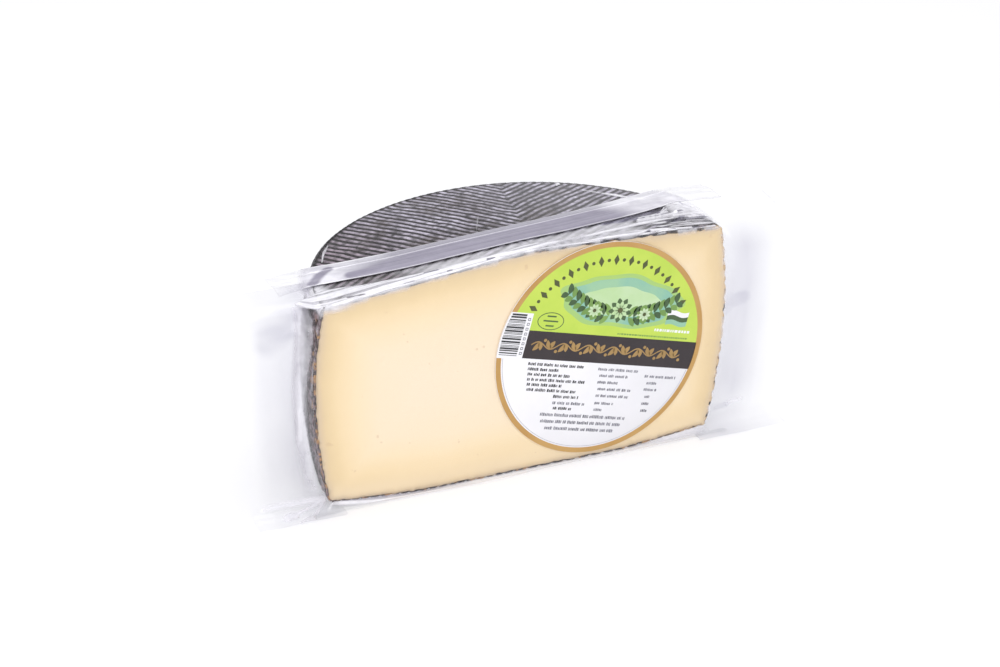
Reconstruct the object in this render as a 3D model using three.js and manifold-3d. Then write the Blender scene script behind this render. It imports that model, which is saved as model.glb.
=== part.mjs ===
// Half a wheel of aged sheep cheese, sealed tight in a clear flat pouch, with a round paper label
// on the cut face. Millimetres. X runs along the cut, Y back into the wheel, Z up.

import * as THREE from "three";
import { mergeVertices } from "three/addons/utils/BufferGeometryUtils.js";
import Module from "manifold-3d";

const wasm = await Module();
wasm.setup();

// The wheel: its two faces bow outwards, its side bulges, and its top leans up to the right.
const TOP_RADIUS = 92.2;
const BASE_RADIUS = 90.6;
const SIDE_BULGE = 4.9;
const HEIGHT = 103.9;
const CROWN_DROP = 6.7;
const CROWN_POWER = 1.51;
const LEAN = 0.0435;
const BASE_FLAT = 48;
const BASE_RISE = 3.8;
const BASE_POWER = 1.2;
const RIM_ROUND = 1.5;
const DOME_AT = 0.7;
const DOME_SPARE = 1.5;
const RIM_SPARE = 0.1;

// Herringbone ridges pressed into the two faces. The zigzags fold on two crossed lines.
const RIDGE_PITCH = 3.6;
const RIDGE_DEPTH = 0.8;
const RIDGE_STEP = 24;
const FOLD_X = 4.9;
const FOLD_Y = 9.3;
const FOLD_TURN = THREE.MathUtils.degToRad(-14.5);
const RELIEF_REACH = 115;
const PLATE_BELOW = 10;

// Plaited bands pressed into the side, whose strands slant one way and then the other.
const STRANDS_ROUND = 88;
const STRAND_DEPTH = 0.8;
const BANDS = 4;

// One ridge or strand in three steps: the groove, then both edges of a flat back.
const RIDGE_STEPS = [0, 0.3, 0.72];
const RIDGE_HEIGHTS = [0, 1, 1];

// A block that keeps the half of the wheel behind the cut, with room to spare on every other side.
const BLOCK_WIDE = 300;
const BLOCK_DEEP = 150;
const BLOCK_TALL = 200;

// The pouch: flat wings beside the wheel, a flap folded back over the top and a hem along the table.
const WING_THICK = 1.2;
const WING_ROOT = 84;
const LEFT_REACH = 124;
const RIGHT_REACH = 129;
const WING_FOLD = 9;
const WING_BUCKLE = 1;
const WING_SET_BACK = 5;
const WING_LOWEST = 0.7;
const WING_WAVE = 1.1;
const WAVE_OUT = 5.5;
const WAVE_UP = 0.035;
const WAVE_FROM = 4;
const WAVE_FULL = 20;
const WING_STEPS_OUT = 6;
const WING_STEPS_UP = 14;
const HOOD_Y = 29;
const HOOD_HEIGHT = 96.5;
const HOOD_START = 93.5;
const SHOULDER_HEIGHT = 82;
const WAIST_HEIGHT = 60;
const KNEE_HEIGHT = 30;
const ANKLE_HEIGHT = 6;
const FAN_Y = -7;
const FAN_DEEP = 6;
const FAN_RISE = 0.4;
const FLAP_THICK = 0.5;
const FLAP_LIFT = 1.5;
const FLAP_DROOP = 0.1;
const FLAP_LEFT = 103;
const FLAP_RIGHT = 108;
const FLAP_FRONT = 12.5;
const FLAP_BACK = 32;
const FLAP_BOW = 0.0019;
const FLAP_BOW_X = -14;
const FLAP_BOW_REACH = 85;
const FLAP_CREST_START = 0.15;
const FLAP_CREST_SPAN = 0.7;
const FLAP_SETTLE = 2;
const FLAP_BED_REACH = 4;
const FLAP_STEPS_ALONG = 26;
const FLAP_STEPS_ACROSS = 3;
const HEM_THICK = 0.8;
const HEM_HEIGHT = 0.6;
const HEM_FRONT = -4;
const HEM_BACK = 3;
const HEM_HALF = 100;
const HEM_WAVE = 1.5;
const HEM_WAVE_LONG = 0.06;
const HEM_WAVE_SLOW = 0.023;
const HEM_STEPS_ALONG = 16;
const HEM_STEPS_ACROSS = 2;

// The label, stuck on the film over the cut.
const LABEL_RADIUS = 50;
const LABEL_THICK = 0.4;
const LABEL_X = 34.9;
const LABEL_Z = 52.8;
const LABEL_GAP = 0.3;
const LABEL_SIDES = 96;

const TOP_RIM_Z = HEIGHT - CROWN_DROP;
const WELD = 1e-4;
const LEAST_AREA = 1e-7;

function crown(x, y) {
  const r = Math.min(Math.hypot(x, y), TOP_RADIUS + 2);
  return HEIGHT - CROWN_DROP * (r / TOP_RADIUS) ** CROWN_POWER + LEAN * x;
}

function baseRise(r) {
  const t = Math.max(0, (Math.min(r, BASE_RADIUS) - BASE_FLAT) / (BASE_RADIUS - BASE_FLAT));
  return BASE_RISE * t ** BASE_POWER;
}

// Shears a point up or down with x, fully at the top and not at all at the base.
function leaned(x, y, z) {
  return new THREE.Vector3(x, y, z + LEAN * x * THREE.MathUtils.clamp(z / HEIGHT, 0, 1));
}

// Triangles of a four-sided net of points, as coordinates.
function netTriangles(net, flip = false) {
  const out = [];
  const push = (a, b, c) => (flip ? out.push(...a, ...c, ...b) : out.push(...a, ...b, ...c));
  for (let i = 0; i + 1 < net.length; i++) {
    for (let j = 0; j + 1 < net[i].length; j++) {
      const [a, b, c, d] = [net[i][j], net[i + 1][j], net[i + 1][j + 1], net[i][j + 1]];
      push(a, b, c);
      push(a, c, d);
    }
  }
  return out;
}

function toSolid(geometry) {
  const bare = geometry.clone();
  bare.deleteAttribute("normal");
  bare.deleteAttribute("uv");
  const merged = mergeVertices(bare, WELD);
  return new wasm.Manifold(new wasm.Mesh({
    numProp: 3,
    vertProperties: new Float32Array(merged.attributes.position.array),
    triVerts: new Uint32Array(merged.index.array),
  }));
}

function trianglesToSolid(coordinates) {
  const geometry = new THREE.BufferGeometry();
  geometry.setAttribute("position", new THREE.Float32BufferAttribute(coordinates, 3));
  const area = new THREE.Triangle();
  const flat = [];
  const corners = geometry.attributes.position;
  for (let i = 0; i < corners.count; i += 3) {
    area.setFromAttributeAndIndices(corners, i, i + 1, i + 2);
    if (area.getArea() > LEAST_AREA) flat.push(...coordinates.slice(3 * i, 3 * i + 9));
  }
  geometry.setAttribute("position", new THREE.Float32BufferAttribute(flat, 3));
  return toSolid(geometry);
}

function solidToGeometry(solid) {
  const mesh = solid.getMesh();
  const geometry = new THREE.BufferGeometry();
  geometry.setAttribute("position", new THREE.BufferAttribute(new Float32Array(mesh.vertProperties), 3));
  geometry.setIndex(new THREE.BufferAttribute(new Uint32Array(mesh.triVerts), 1));
  geometry.computeVertexNormals();
  return geometry;
}

// The plaited wheel before its faces get their ridges, as rows of points from base to top.
function wheelBlank() {
  const rows = [];
  const sideBottom = BASE_RISE + RIM_ROUND;
  const sideTop = TOP_RIM_Z - RIM_ROUND;
  const bandHeight = (sideTop - sideBottom) / BANDS;
  const middle = BASE_RADIUS + SIDE_BULGE;
  rows.push({ r: BASE_FLAT, z: 0, amount: 0, shift: 0 });
  for (const turn of [0, 0.5]) {
    const a = turn * Math.PI / 2;
    rows.push({
      r: BASE_RADIUS - RIM_ROUND * (1 - Math.sin(a)),
      z: baseRise(BASE_RADIUS - RIM_ROUND) + RIM_ROUND * (1 - Math.cos(a)),
      amount: turn,
      shift: 0,
    });
  }
  for (let k = 0; k <= BANDS; k++) {
    const s = k / BANDS;
    rows.push({
      r: BASE_RADIUS + (TOP_RADIUS - BASE_RADIUS) * s + SIDE_BULGE * 4 * s * (1 - s),
      z: sideBottom + (sideTop - sideBottom) * s,
      amount: 1,
      shift: (k % 2) * bandHeight / middle,
    });
  }
  for (const turn of [0.5, 1]) {
    const a = turn * Math.PI / 2;
    rows.push({
      r: TOP_RADIUS - RIM_ROUND * (1 - Math.cos(a)),
      z: TOP_RIM_Z + RIM_SPARE - RIM_ROUND * (1 - Math.sin(a)),
      amount: 1 - turn,
      shift: 0,
    });
  }
  const domeRadius = TOP_RADIUS * DOME_AT;
  const dome = crown(0, domeRadius) + DOME_SPARE;
  rows.push({ r: domeRadius, z: dome, amount: 0, shift: 0 });

  const columns = STRANDS_ROUND * RIDGE_STEPS.length;
  const net = rows.map((row) => {
    const ring = [];
    for (let i = 0; i <= columns; i++) {
      const step = i % RIDGE_STEPS.length;
      const strand = Math.floor((i % columns) / RIDGE_STEPS.length) + RIDGE_STEPS[step];
      const angle = 2 * Math.PI * strand / STRANDS_ROUND + row.shift;
      const r = row.r - STRAND_DEPTH * row.amount * (1 - RIDGE_HEIGHTS[step]);
      ring.push(leaned(r * Math.cos(angle), r * Math.sin(angle), row.z));
    }
    return ring;
  });
  const low = net[0].map(() => new THREE.Vector3(0, 0, 0));
  const high = net[0].map(() => new THREE.Vector3(0, 0, HEIGHT + DOME_SPARE));
  return trianglesToSolid(netTriangles([low, ...net, high], true));
}

// A thick plate under the ridged top face, wider and deeper than the wheel. Each quarter holds the
// same zigzags, mirrored on the two fold lines: a counts across the ridges, b along them.
function ridgedPlate() {
  const count = Math.ceil(RELIEF_REACH / RIDGE_PITCH);
  const lines = [];
  for (let k = -count; k < count; k++) {
    RIDGE_STEPS.forEach((step, i) => lines.push({ a: (k + step) * RIDGE_PITCH, h: RIDGE_HEIGHTS[i] }));
  }
  // The diagonal of a quarter is a groove, so the line at a = 0 is always among them.
  const steps = Math.ceil(2 * RELIEF_REACH / RIDGE_STEP);
  const out = [];
  for (const sx of [1, -1]) {
    for (const sy of [1, -1]) {
      const flip = sx * sy > 0;
      const top = [];
      const base = [];
      for (const { a, h } of lines) {
        const topLine = [];
        const baseLine = [];
        for (let k = 0; k <= steps; k++) {
          const b = Math.abs(a) + k * RIDGE_STEP;
          const p = sx * (b - a) / Math.SQRT2;
          const q = sy * (b + a) / Math.SQRT2;
          const x = FOLD_X + p * Math.cos(FOLD_TURN) - q * Math.sin(FOLD_TURN);
          const y = FOLD_Y + p * Math.sin(FOLD_TURN) + q * Math.cos(FOLD_TURN);
          topLine.push(new THREE.Vector3(x, y, crown(x, y) - RIDGE_DEPTH * (1 - h)));
          baseLine.push(new THREE.Vector3(x, y, -PLATE_BELOW));
        }
        top.push(topLine);
        base.push(baseLine);
      }
      out.push(...netTriangles(top, flip), ...netTriangles(base, !flip));
      const last = lines.length - 1;
      const far = top.map((line, i) => [base[i][steps], line[steps]]);
      const first = top[0].map((point, k) => [base[0][k], point]);
      const end = top[last].map((point, k) => [base[last][k], point]);
      out.push(...netTriangles(far, !flip), ...netTriangles(first, !flip), ...netTriangles(end, flip));
    }
  }
  return trianglesToSolid(out);
}

// A closed body between two nets of the same size.
function between(front, back) {
  const lastRow = front.length - 1;
  const lastColumn = front[0].length - 1;
  const edge = (pick) => pick(front).map((point, k) => [point, pick(back)[k]]);
  return trianglesToSolid([
    ...netTriangles(front),
    ...netTriangles(back, true),
    ...netTriangles(edge((net) => net.map((row) => row[0])), true),
    ...netTriangles(edge((net) => net.map((row) => row[lastColumn]))),
    ...netTriangles(edge((net) => net[0])),
    ...netTriangles(edge((net) => net[lastRow]), true),
  ]);
}

// A sheet of even thickness round a net of middle points.
function sheet(middle, thickness) {
  const rows = middle.length;
  const columns = middle[0].length;
  const normalAt = (i, j) => {
    const along = middle[Math.min(i + 1, rows - 1)][j].clone().sub(middle[Math.max(i - 1, 0)][j]);
    const across = middle[i][Math.min(j + 1, columns - 1)].clone().sub(middle[i][Math.max(j - 1, 0)]);
    return along.cross(across).normalize();
  };
  const side = (sign) => middle.map((row, i) => row.map(
    (point, j) => point.clone().addScaledVector(normalAt(i, j), sign * thickness / 2)));
  return between(side(1), side(-1));
}

// One wing: it starts on the table as a small fan turned forward, stands up beside the wheel just
// behind the cut, and leans back at the top to meet the flap.
function wing(side, reach) {
  const profile = new THREE.CatmullRomCurve3([
    new THREE.Vector3(0, FAN_Y, WING_LOWEST),
    new THREE.Vector3(0, FAN_Y + FAN_DEEP, WING_LOWEST + FAN_RISE),
    new THREE.Vector3(0, WING_SET_BACK, ANKLE_HEIGHT),
    new THREE.Vector3(0, WING_SET_BACK + WING_BUCKLE, KNEE_HEIGHT),
    new THREE.Vector3(0, WING_SET_BACK, WAIST_HEIGHT),
    new THREE.Vector3(0, WING_SET_BACK + WING_BUCKLE, SHOULDER_HEIGHT),
    new THREE.Vector3(0, WING_SET_BACK + WING_FOLD, HOOD_START),
    new THREE.Vector3(0, HOOD_Y, HOOD_HEIGHT),
  ]);
  const net = [];
  for (let j = 0; j <= WING_STEPS_UP; j++) {
    const row = [];
    const point = profile.getPoint(j / WING_STEPS_UP);
    for (let i = 0; i <= WING_STEPS_OUT; i++) {
      const u = i / WING_STEPS_OUT;
      const x = side * THREE.MathUtils.lerp(WING_ROOT, reach, u);
      const standing = THREE.MathUtils.smoothstep(point.z, WAVE_FROM, WAVE_FULL);
      const phase = WAVE_OUT * u + WAVE_UP * point.z * (2 + side);
      const wave = WING_WAVE * u * standing * Math.sin(phase);
      const lean = LEAN * x * point.z / HEIGHT;
      row.push(new THREE.Vector3(x, point.y + wave, Math.max(point.z + lean, WING_LOWEST)));
    }
    net.push(row);
  }
  return sheet(net, WING_THICK);
}

// The flap of spare pouch folded back on the top. It is bedded in the grooves of the rind, and runs
// on past the rim at both ends.
function flap() {
  const upper = [];
  const lower = [];
  for (let j = 0; j <= FLAP_STEPS_ACROSS; j++) {
    const v = j / FLAP_STEPS_ACROSS;
    const upperRow = [];
    const lowerRow = [];
    for (let i = 0; i <= FLAP_STEPS_ALONG; i++) {
      const x = THREE.MathUtils.lerp(-FLAP_LEFT, FLAP_RIGHT, i / FLAP_STEPS_ALONG);
      const bowX = THREE.MathUtils.clamp(x, -FLAP_BOW_REACH, FLAP_BOW_REACH) - FLAP_BOW_X;
      const bow = FLAP_BOW * bowX ** 2;
      const y = THREE.MathUtils.lerp(FLAP_FRONT, FLAP_BACK, v) + bow;
      const past = Math.max(0, Math.hypot(x, y) - TOP_RADIUS + FLAP_SETTLE);
      const rest = crown(x, y) - FLAP_DROOP * past;
      const bedded = THREE.MathUtils.clamp(1 - past / FLAP_BED_REACH, 0, 1);
      const crest = FLAP_LIFT * Math.sin(Math.PI * (FLAP_CREST_START + FLAP_CREST_SPAN * v));
      upperRow.push(new THREE.Vector3(x, y, rest + crest));
      lowerRow.push(new THREE.Vector3(x, y, rest - FLAP_THICK - RIDGE_DEPTH * bedded));
    }
    upper.push(upperRow);
    lower.push(lowerRow);
  }
  return between(lower, upper);
}

// The narrow hem of film that lies on the table in front of the cut.
function hem() {
  const net = [];
  for (let j = 0; j <= HEM_STEPS_ACROSS; j++) {
    const row = [];
    for (let i = 0; i <= HEM_STEPS_ALONG; i++) {
      const x = THREE.MathUtils.lerp(-HEM_HALF, HEM_HALF, i / HEM_STEPS_ALONG);
      const front = HEM_FRONT + HEM_WAVE * Math.sin(HEM_WAVE_LONG * x) * Math.cos(HEM_WAVE_SLOW * x);
      row.push(new THREE.Vector3(x, THREE.MathUtils.lerp(front, HEM_BACK, j / HEM_STEPS_ACROSS), HEM_HEIGHT));
    }
    net.push(row);
  }
  return sheet(net, HEM_THICK);
}

function vacuumPack() {
  const half = new THREE.BoxGeometry(BLOCK_WIDE, BLOCK_DEEP, BLOCK_TALL);
  half.translate(0, BLOCK_DEEP / 2, BLOCK_TALL / 4);
  const cheese = wheelBlank().intersect(ridgedPlate()).intersect(toSolid(half));
  return solidToGeometry(
    cheese.add(wing(-1, LEFT_REACH)).add(wing(1, RIGHT_REACH)).add(flap()).add(hem()));
}

function roundLabel() {
  const disc = new THREE.CylinderGeometry(LABEL_RADIUS, LABEL_RADIUS, LABEL_THICK, LABEL_SIDES);
  disc.translate(0, -LABEL_GAP - LABEL_THICK / 2, 0);
  return disc;
}

const packMaterial = new THREE.MeshStandardMaterial({ color: 0xf0dcb8, roughness: 0.35, metalness: 0 });
const labelMaterial = new THREE.MeshStandardMaterial({ color: 0xb9d45f, roughness: 0.45, metalness: 0 });

const pack = new THREE.Mesh(vacuumPack(), packMaterial);
pack.name = "vacuum_pack";
const label = new THREE.Mesh(roundLabel(), labelMaterial);
label.name = "round_label";
label.position.set(LABEL_X, 0, LABEL_Z);

const part = new THREE.Group();
part.add(pack, label);

// The origin is the middle of the part's box, at table height.
const box = new THREE.Box3().setFromObject(part);
const centre = box.getCenter(new THREE.Vector3());
part.position.set(-centre.x, -centre.y, -box.min.z);
part.updateMatrixWorld(true);

export default part;
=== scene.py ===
import math

import bpy
import numpy as np
from mathutils import Matrix, Vector
from mathutils.geometry import delaunay_2d_cdt


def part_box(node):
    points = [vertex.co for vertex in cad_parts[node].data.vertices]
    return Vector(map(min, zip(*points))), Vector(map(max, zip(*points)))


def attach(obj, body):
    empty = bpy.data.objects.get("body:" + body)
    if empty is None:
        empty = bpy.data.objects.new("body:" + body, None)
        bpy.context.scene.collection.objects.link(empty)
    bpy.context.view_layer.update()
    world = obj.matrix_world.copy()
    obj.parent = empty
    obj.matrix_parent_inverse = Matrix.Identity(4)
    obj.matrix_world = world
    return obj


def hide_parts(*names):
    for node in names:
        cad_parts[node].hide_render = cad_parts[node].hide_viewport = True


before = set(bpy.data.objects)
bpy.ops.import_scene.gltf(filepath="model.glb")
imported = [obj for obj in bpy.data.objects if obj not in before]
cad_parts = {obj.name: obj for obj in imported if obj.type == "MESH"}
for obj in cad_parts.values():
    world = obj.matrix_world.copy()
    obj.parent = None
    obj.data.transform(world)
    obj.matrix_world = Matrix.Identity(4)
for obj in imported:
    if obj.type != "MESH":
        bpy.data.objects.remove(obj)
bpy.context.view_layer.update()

# The wheel's own frame: millimetres, X along the cut, Y back into the wheel, Z up, its axis at x = y = 0.
TOP_RADIUS = 92.2
BASE_RADIUS = 90.6
SIDE_BULGE = 4.9
HEIGHT = 103.9
CROWN_DROP = 6.7
CROWN_POWER = 1.51
LEAN = 0.0435
BASE_FLAT = 48.0
BASE_RISE = 3.8
BASE_POWER = 1.2
RIM = 1.5
SIDE_LOW, SIDE_HIGH = 5.3, 95.7
TOP_REACH = TOP_RADIUS - 2
RIND = 1.0
RUBBED_LEVEL = SIDE_HIGH + 0.6

# How far the pouch's film stands out from the rind, and where it lies over the cut.
SKIN_GAP = 0.22
CUT_GAP = -0.14

# The mat's print: a herringbone on both faces, and four bands of slanting strands on the side.
PITCH = 3.6
GROOVE = 0.8
TOP_FOLD = (4.9, 9.3, math.radians(-14.5))
BASE_FOLD = (-7.5, 15.2, math.radians(9.0))
STRANDS = 88
BAND_HEIGHT = (SIDE_HIGH - SIDE_LOW) / 4
BAND_SHIFT = BAND_HEIGHT / (BASE_RADIUS + SIDE_BULGE)

LABEL_RADIUS = 50.0
LABEL_X, LABEL_BACK, LABEL_Z = 34.9, -0.3, 52.8
LABEL_FRONT = -0.7
LABEL_TURN = math.radians(-14.3)

low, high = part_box("round_label")
SHIFT = np.array([
    (low.x + high.x) * 500 - LABEL_X,
    high.y * 1000 - LABEL_BACK,
    (low.z + high.z) * 500 - LABEL_Z,
])
NO_POINTS = np.zeros((0, 2))


def metres(points):
    """Places in the wheel's own frame, taken to the part's frame."""
    return (np.asarray(points, float) + SHIFT) / 1000


def ramp(x, start, end):
    """0 before start, 1 after end, eased between."""
    t = np.clip((np.asarray(x, float) - start) / (end - start), 0, 1)
    return t * t * (3 - 2 * t)


def hump(x, centre, half):
    """1 at centre, 0 further than half from it."""
    return 1 - ramp(np.abs(np.asarray(x, float) - centre), 0, half)


def lattice(ix, iy, iz):
    """A random number from -1 to 1 for each whole place, the same every time."""
    n = (ix * 73856093) ^ (iy * 19349663) ^ (iz * 83492791)
    n = (n ^ (n >> 13)) * 1274126177
    return ((n ^ (n >> 16)) & 0xFFFF) / 32767.5 - 1.0


def noise(x, y, z=0.0):
    """Smooth random heights from -1 to 1, one cell a unit."""
    parts = np.broadcast_arrays(*(np.asarray(c, float) for c in (x, y, z)))
    cells = [np.floor(c).astype(np.int64) for c in parts]
    ease = [(c - k) ** 2 * (3 - 2 * (c - k)) for c, k in zip(parts, cells)]
    total = np.zeros(parts[0].shape)
    for dx in (0, 1):
        for dy in (0, 1):
            for dz in (0, 1):
                weight = np.abs(1 - dx - ease[0]) * np.abs(1 - dy - ease[1]) * np.abs(1 - dz - ease[2])
                total += weight * lattice(cells[0] + dx, cells[1] + dy, cells[2] + dz)
    return total


def clouds(x, y, z=0.0, octaves=3):
    """Noise at several sizes, each finer one fainter."""
    total = 0.0
    for k in range(octaves):
        size = 2.0 ** k
        total = total + noise(x * size + 17.3 * k, y * size - 9.1 * k, z * size) / size
    return total / (2 - 0.5 ** (octaves - 1))


def build(name, points, faces, material, values=None, slots=None, smooth=True):
    """A mesh of the given points and face arrays, which rides on the part. values holds numbers by point."""
    mesh = bpy.data.meshes.new(name)
    loops = np.concatenate([np.asarray(f, np.int32).ravel() for f in faces])
    counts = np.concatenate([np.full(len(f), np.asarray(f).shape[1], np.int32) for f in faces])
    starts = np.concatenate([[0], np.cumsum(counts)[:-1]]).astype(np.int32)
    mesh.vertices.add(len(points))
    mesh.vertices.foreach_set("co", metres(points).astype(np.float32).ravel())
    mesh.loops.add(len(loops))
    mesh.loops.foreach_set("vertex_index", loops)
    mesh.polygons.add(len(counts))
    mesh.polygons.foreach_set("loop_start", starts)
    mesh.update(calc_edges=True)
    for key, value in (values or {}).items():
        layer = mesh.attributes.new(key, "FLOAT", "POINT")
        layer.data.foreach_set("value", np.ascontiguousarray(value, np.float32))
    for entry in material if isinstance(material, (list, tuple)) else [material]:
        mesh.materials.append(entry)
    if slots is not None:
        mesh.polygons.foreach_set("material_index", np.asarray(slots, np.int32))
    mesh.polygons.foreach_set("use_smooth", np.full(len(counts), smooth))
    mesh.validate()
    piece = bpy.data.objects.new(name, mesh)
    bpy.context.scene.collection.objects.link(piece)
    return piece


def fill(outline, inside):
    """Triangles over a closed outline and the loose points inside it. They index outline, then inside."""
    points = [Vector(p) for p in np.vstack([outline, inside])]
    count = len(outline)
    edges = [(i, (i + 1) % count) for i in range(count)]
    made = delaunay_2d_cdt(points, edges, [], 1, 1e-7)
    source = [s[0] for s in made[3]]
    return np.array([[source[i] for i in face] for face in made[2]], np.int32)


def quads(rows, columns, offset=0, around=False):
    """Faces of a net of rows of points. around joins the last column to the first."""
    index = np.arange(rows * columns).reshape(rows, columns) + offset
    if around:
        index = np.hstack([index, index[:, :1]])
    return np.stack([index[:-1, :-1], index[:-1, 1:], index[1:, 1:], index[1:, :-1]], 2).reshape(-1, 4)


def slab(upper, lower):
    """Points and faces of the closed sheet between two nets of the same size."""
    rows, columns = upper.shape[:2]
    count = rows * columns
    points = np.concatenate([upper.reshape(-1, 3), lower.reshape(-1, 3)])
    top = quads(rows, columns)
    index = np.arange(count).reshape(rows, columns)
    rim = np.concatenate([index[0, :-1], index[:-1, -1], index[-1, :0:-1], index[:0:-1, 0]])
    after = np.roll(rim, -1)
    wall = np.stack([after, rim, rim + count, after + count], 1)
    return points, [np.concatenate([top, top[:, ::-1] + count, wall])]


# How high the surface stands.


def crown(r):
    return HEIGHT - CROWN_DROP * (np.minimum(r, TOP_RADIUS + 2) / TOP_RADIUS) ** CROWN_POWER


def base_rise(r):
    return BASE_RISE * np.clip((r - BASE_FLAT) / (BASE_RADIUS - BASE_FLAT), 0, 1.2) ** BASE_POWER


def side_radius(z):
    s = (z - SIDE_LOW) / (SIDE_HIGH - SIDE_LOW)
    return BASE_RADIUS + (TOP_RADIUS - BASE_RADIUS) * s + SIDE_BULGE * 4 * s * (1 - s)


def leaned(points):
    points = np.array(points, float)
    points[..., 2] += LEAN * points[..., 0] * np.clip(points[..., 2] / HEIGHT, 0, 1)
    return points


def top_height(x, y):
    """The top of the ridges at a place on the wheel, lean and unevenness included."""
    z = crown(np.hypot(x, y)) + 0.3 * noise(np.asarray(x) / 23, np.asarray(y) / 23, 4.5)
    return z + LEAN * np.asarray(x)


def ridge(fraction):
    """Height across one strand, from its groove at 0 over its back to the next groove."""
    return np.clip(np.minimum(fraction / 0.3, (1 - fraction) / 0.28), 0, 1)


def turned(x, y, fold):
    """Coordinates along a herringbone's own axes. fold is its centre and its turn."""
    cos, sin = math.cos(fold[2]), math.sin(fold[2])
    dx, dy = x - fold[0], y - fold[1]
    return dx * cos + dy * sin, dy * cos - dx * sin


def herringbone(x, y, fold):
    p, q = turned(x, y, fold)
    across = (np.abs(q) - np.abs(p)) / math.sqrt(2) / PITCH
    return ridge(across - np.floor(across))


def strands(phi, z):
    """Height on the side's plaited bands, phi being the way round the wheel."""
    band = np.clip((z - SIDE_LOW) / BAND_HEIGHT, 0, 4)
    zigzag = BAND_SHIFT * np.abs((band + 1) % 2 - 1)
    across = (phi - zigzag) * STRANDS / (2 * math.pi)
    return ridge(across - np.floor(across))


def ridge_points(fold, marks, along):
    """Places on lines along the ridges, at the given marks across each strand."""
    reach = TOP_RADIUS * 1.6
    k = np.arange(-math.ceil(reach / PITCH), math.ceil(reach / PITCH) + 1)
    across = ((k[:, None] + np.array(marks)[None]) * PITCH).ravel()
    steps = np.arange(along / 2, reach * 1.5, along)
    a, b = (c.ravel() for c in np.meshgrid(across, steps))
    root = math.sqrt(2)
    found = []
    for sign in (1, -1):
        for s, t, side in ((b, a, 1), (a, b, -1)):
            p, q = sign * (s - t) / root, sign * (s + t) / root
            keep = (p * sign * side > 0.45) & (q * sign > 0.45)
            found.append(np.stack([p, q], 1)[keep])
        up, out = across[across > 0.3] * root, -across[across < -0.3] * root
        found += [np.stack([0 * up, sign * up], 1), np.stack([sign * out, 0 * out], 1)]
    p, q = np.concatenate(found).T
    cos, sin = math.cos(fold[2]), math.sin(fold[2])
    return np.stack([fold[0] + p * cos - q * sin, fold[1] + p * sin + q * cos], 1)


def lines_meet(p, d, q, e):
    """Where the line from p along d meets the line from q along e."""
    t = ((q[0] - p[0]) * e[1] - (q[1] - p[1]) * e[0]) / (d[0] * e[1] - d[1] * e[0])
    return np.array([p[0] + t * d[0], p[1] + t * d[1]])


def profile(rows):
    """Radius and height down the wheel's flank, from inside one rim to inside the other, and the way out."""
    inner_top, inner_base = TOP_RADIUS - RIM, BASE_RADIUS - RIM
    z = np.linspace(SIDE_HIGH, SIDE_LOW, rows)
    side = np.stack([side_radius(z), z], 1)
    step = 0.01

    def slope(surface, r):
        return 1, (surface(r + step) - surface(r)) / step

    def turn(start, way, end, back):
        middle = lines_meet(start, way, end, back)
        t = np.linspace(0, 1, 7)[:, None]
        return (1 - t) ** 2 * np.array(start) + 2 * t * (1 - t) * middle + t ** 2 * np.array(end)

    top_end, base_end = (inner_top, crown(inner_top)), (inner_base, base_rise(inner_base))
    top = turn(top_end, slope(crown, inner_top), side[0], side[0] - side[1])
    base = turn(side[-1], side[-1] - side[-2], base_end, slope(base_rise, inner_base))
    line = np.concatenate([top[:-1], side, base[1:]])
    way = np.gradient(line, axis=0)
    out = np.stack([-way[:, 1], way[:, 0]], 1)
    return line, out / np.linalg.norm(out, axis=1)[:, None]


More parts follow.
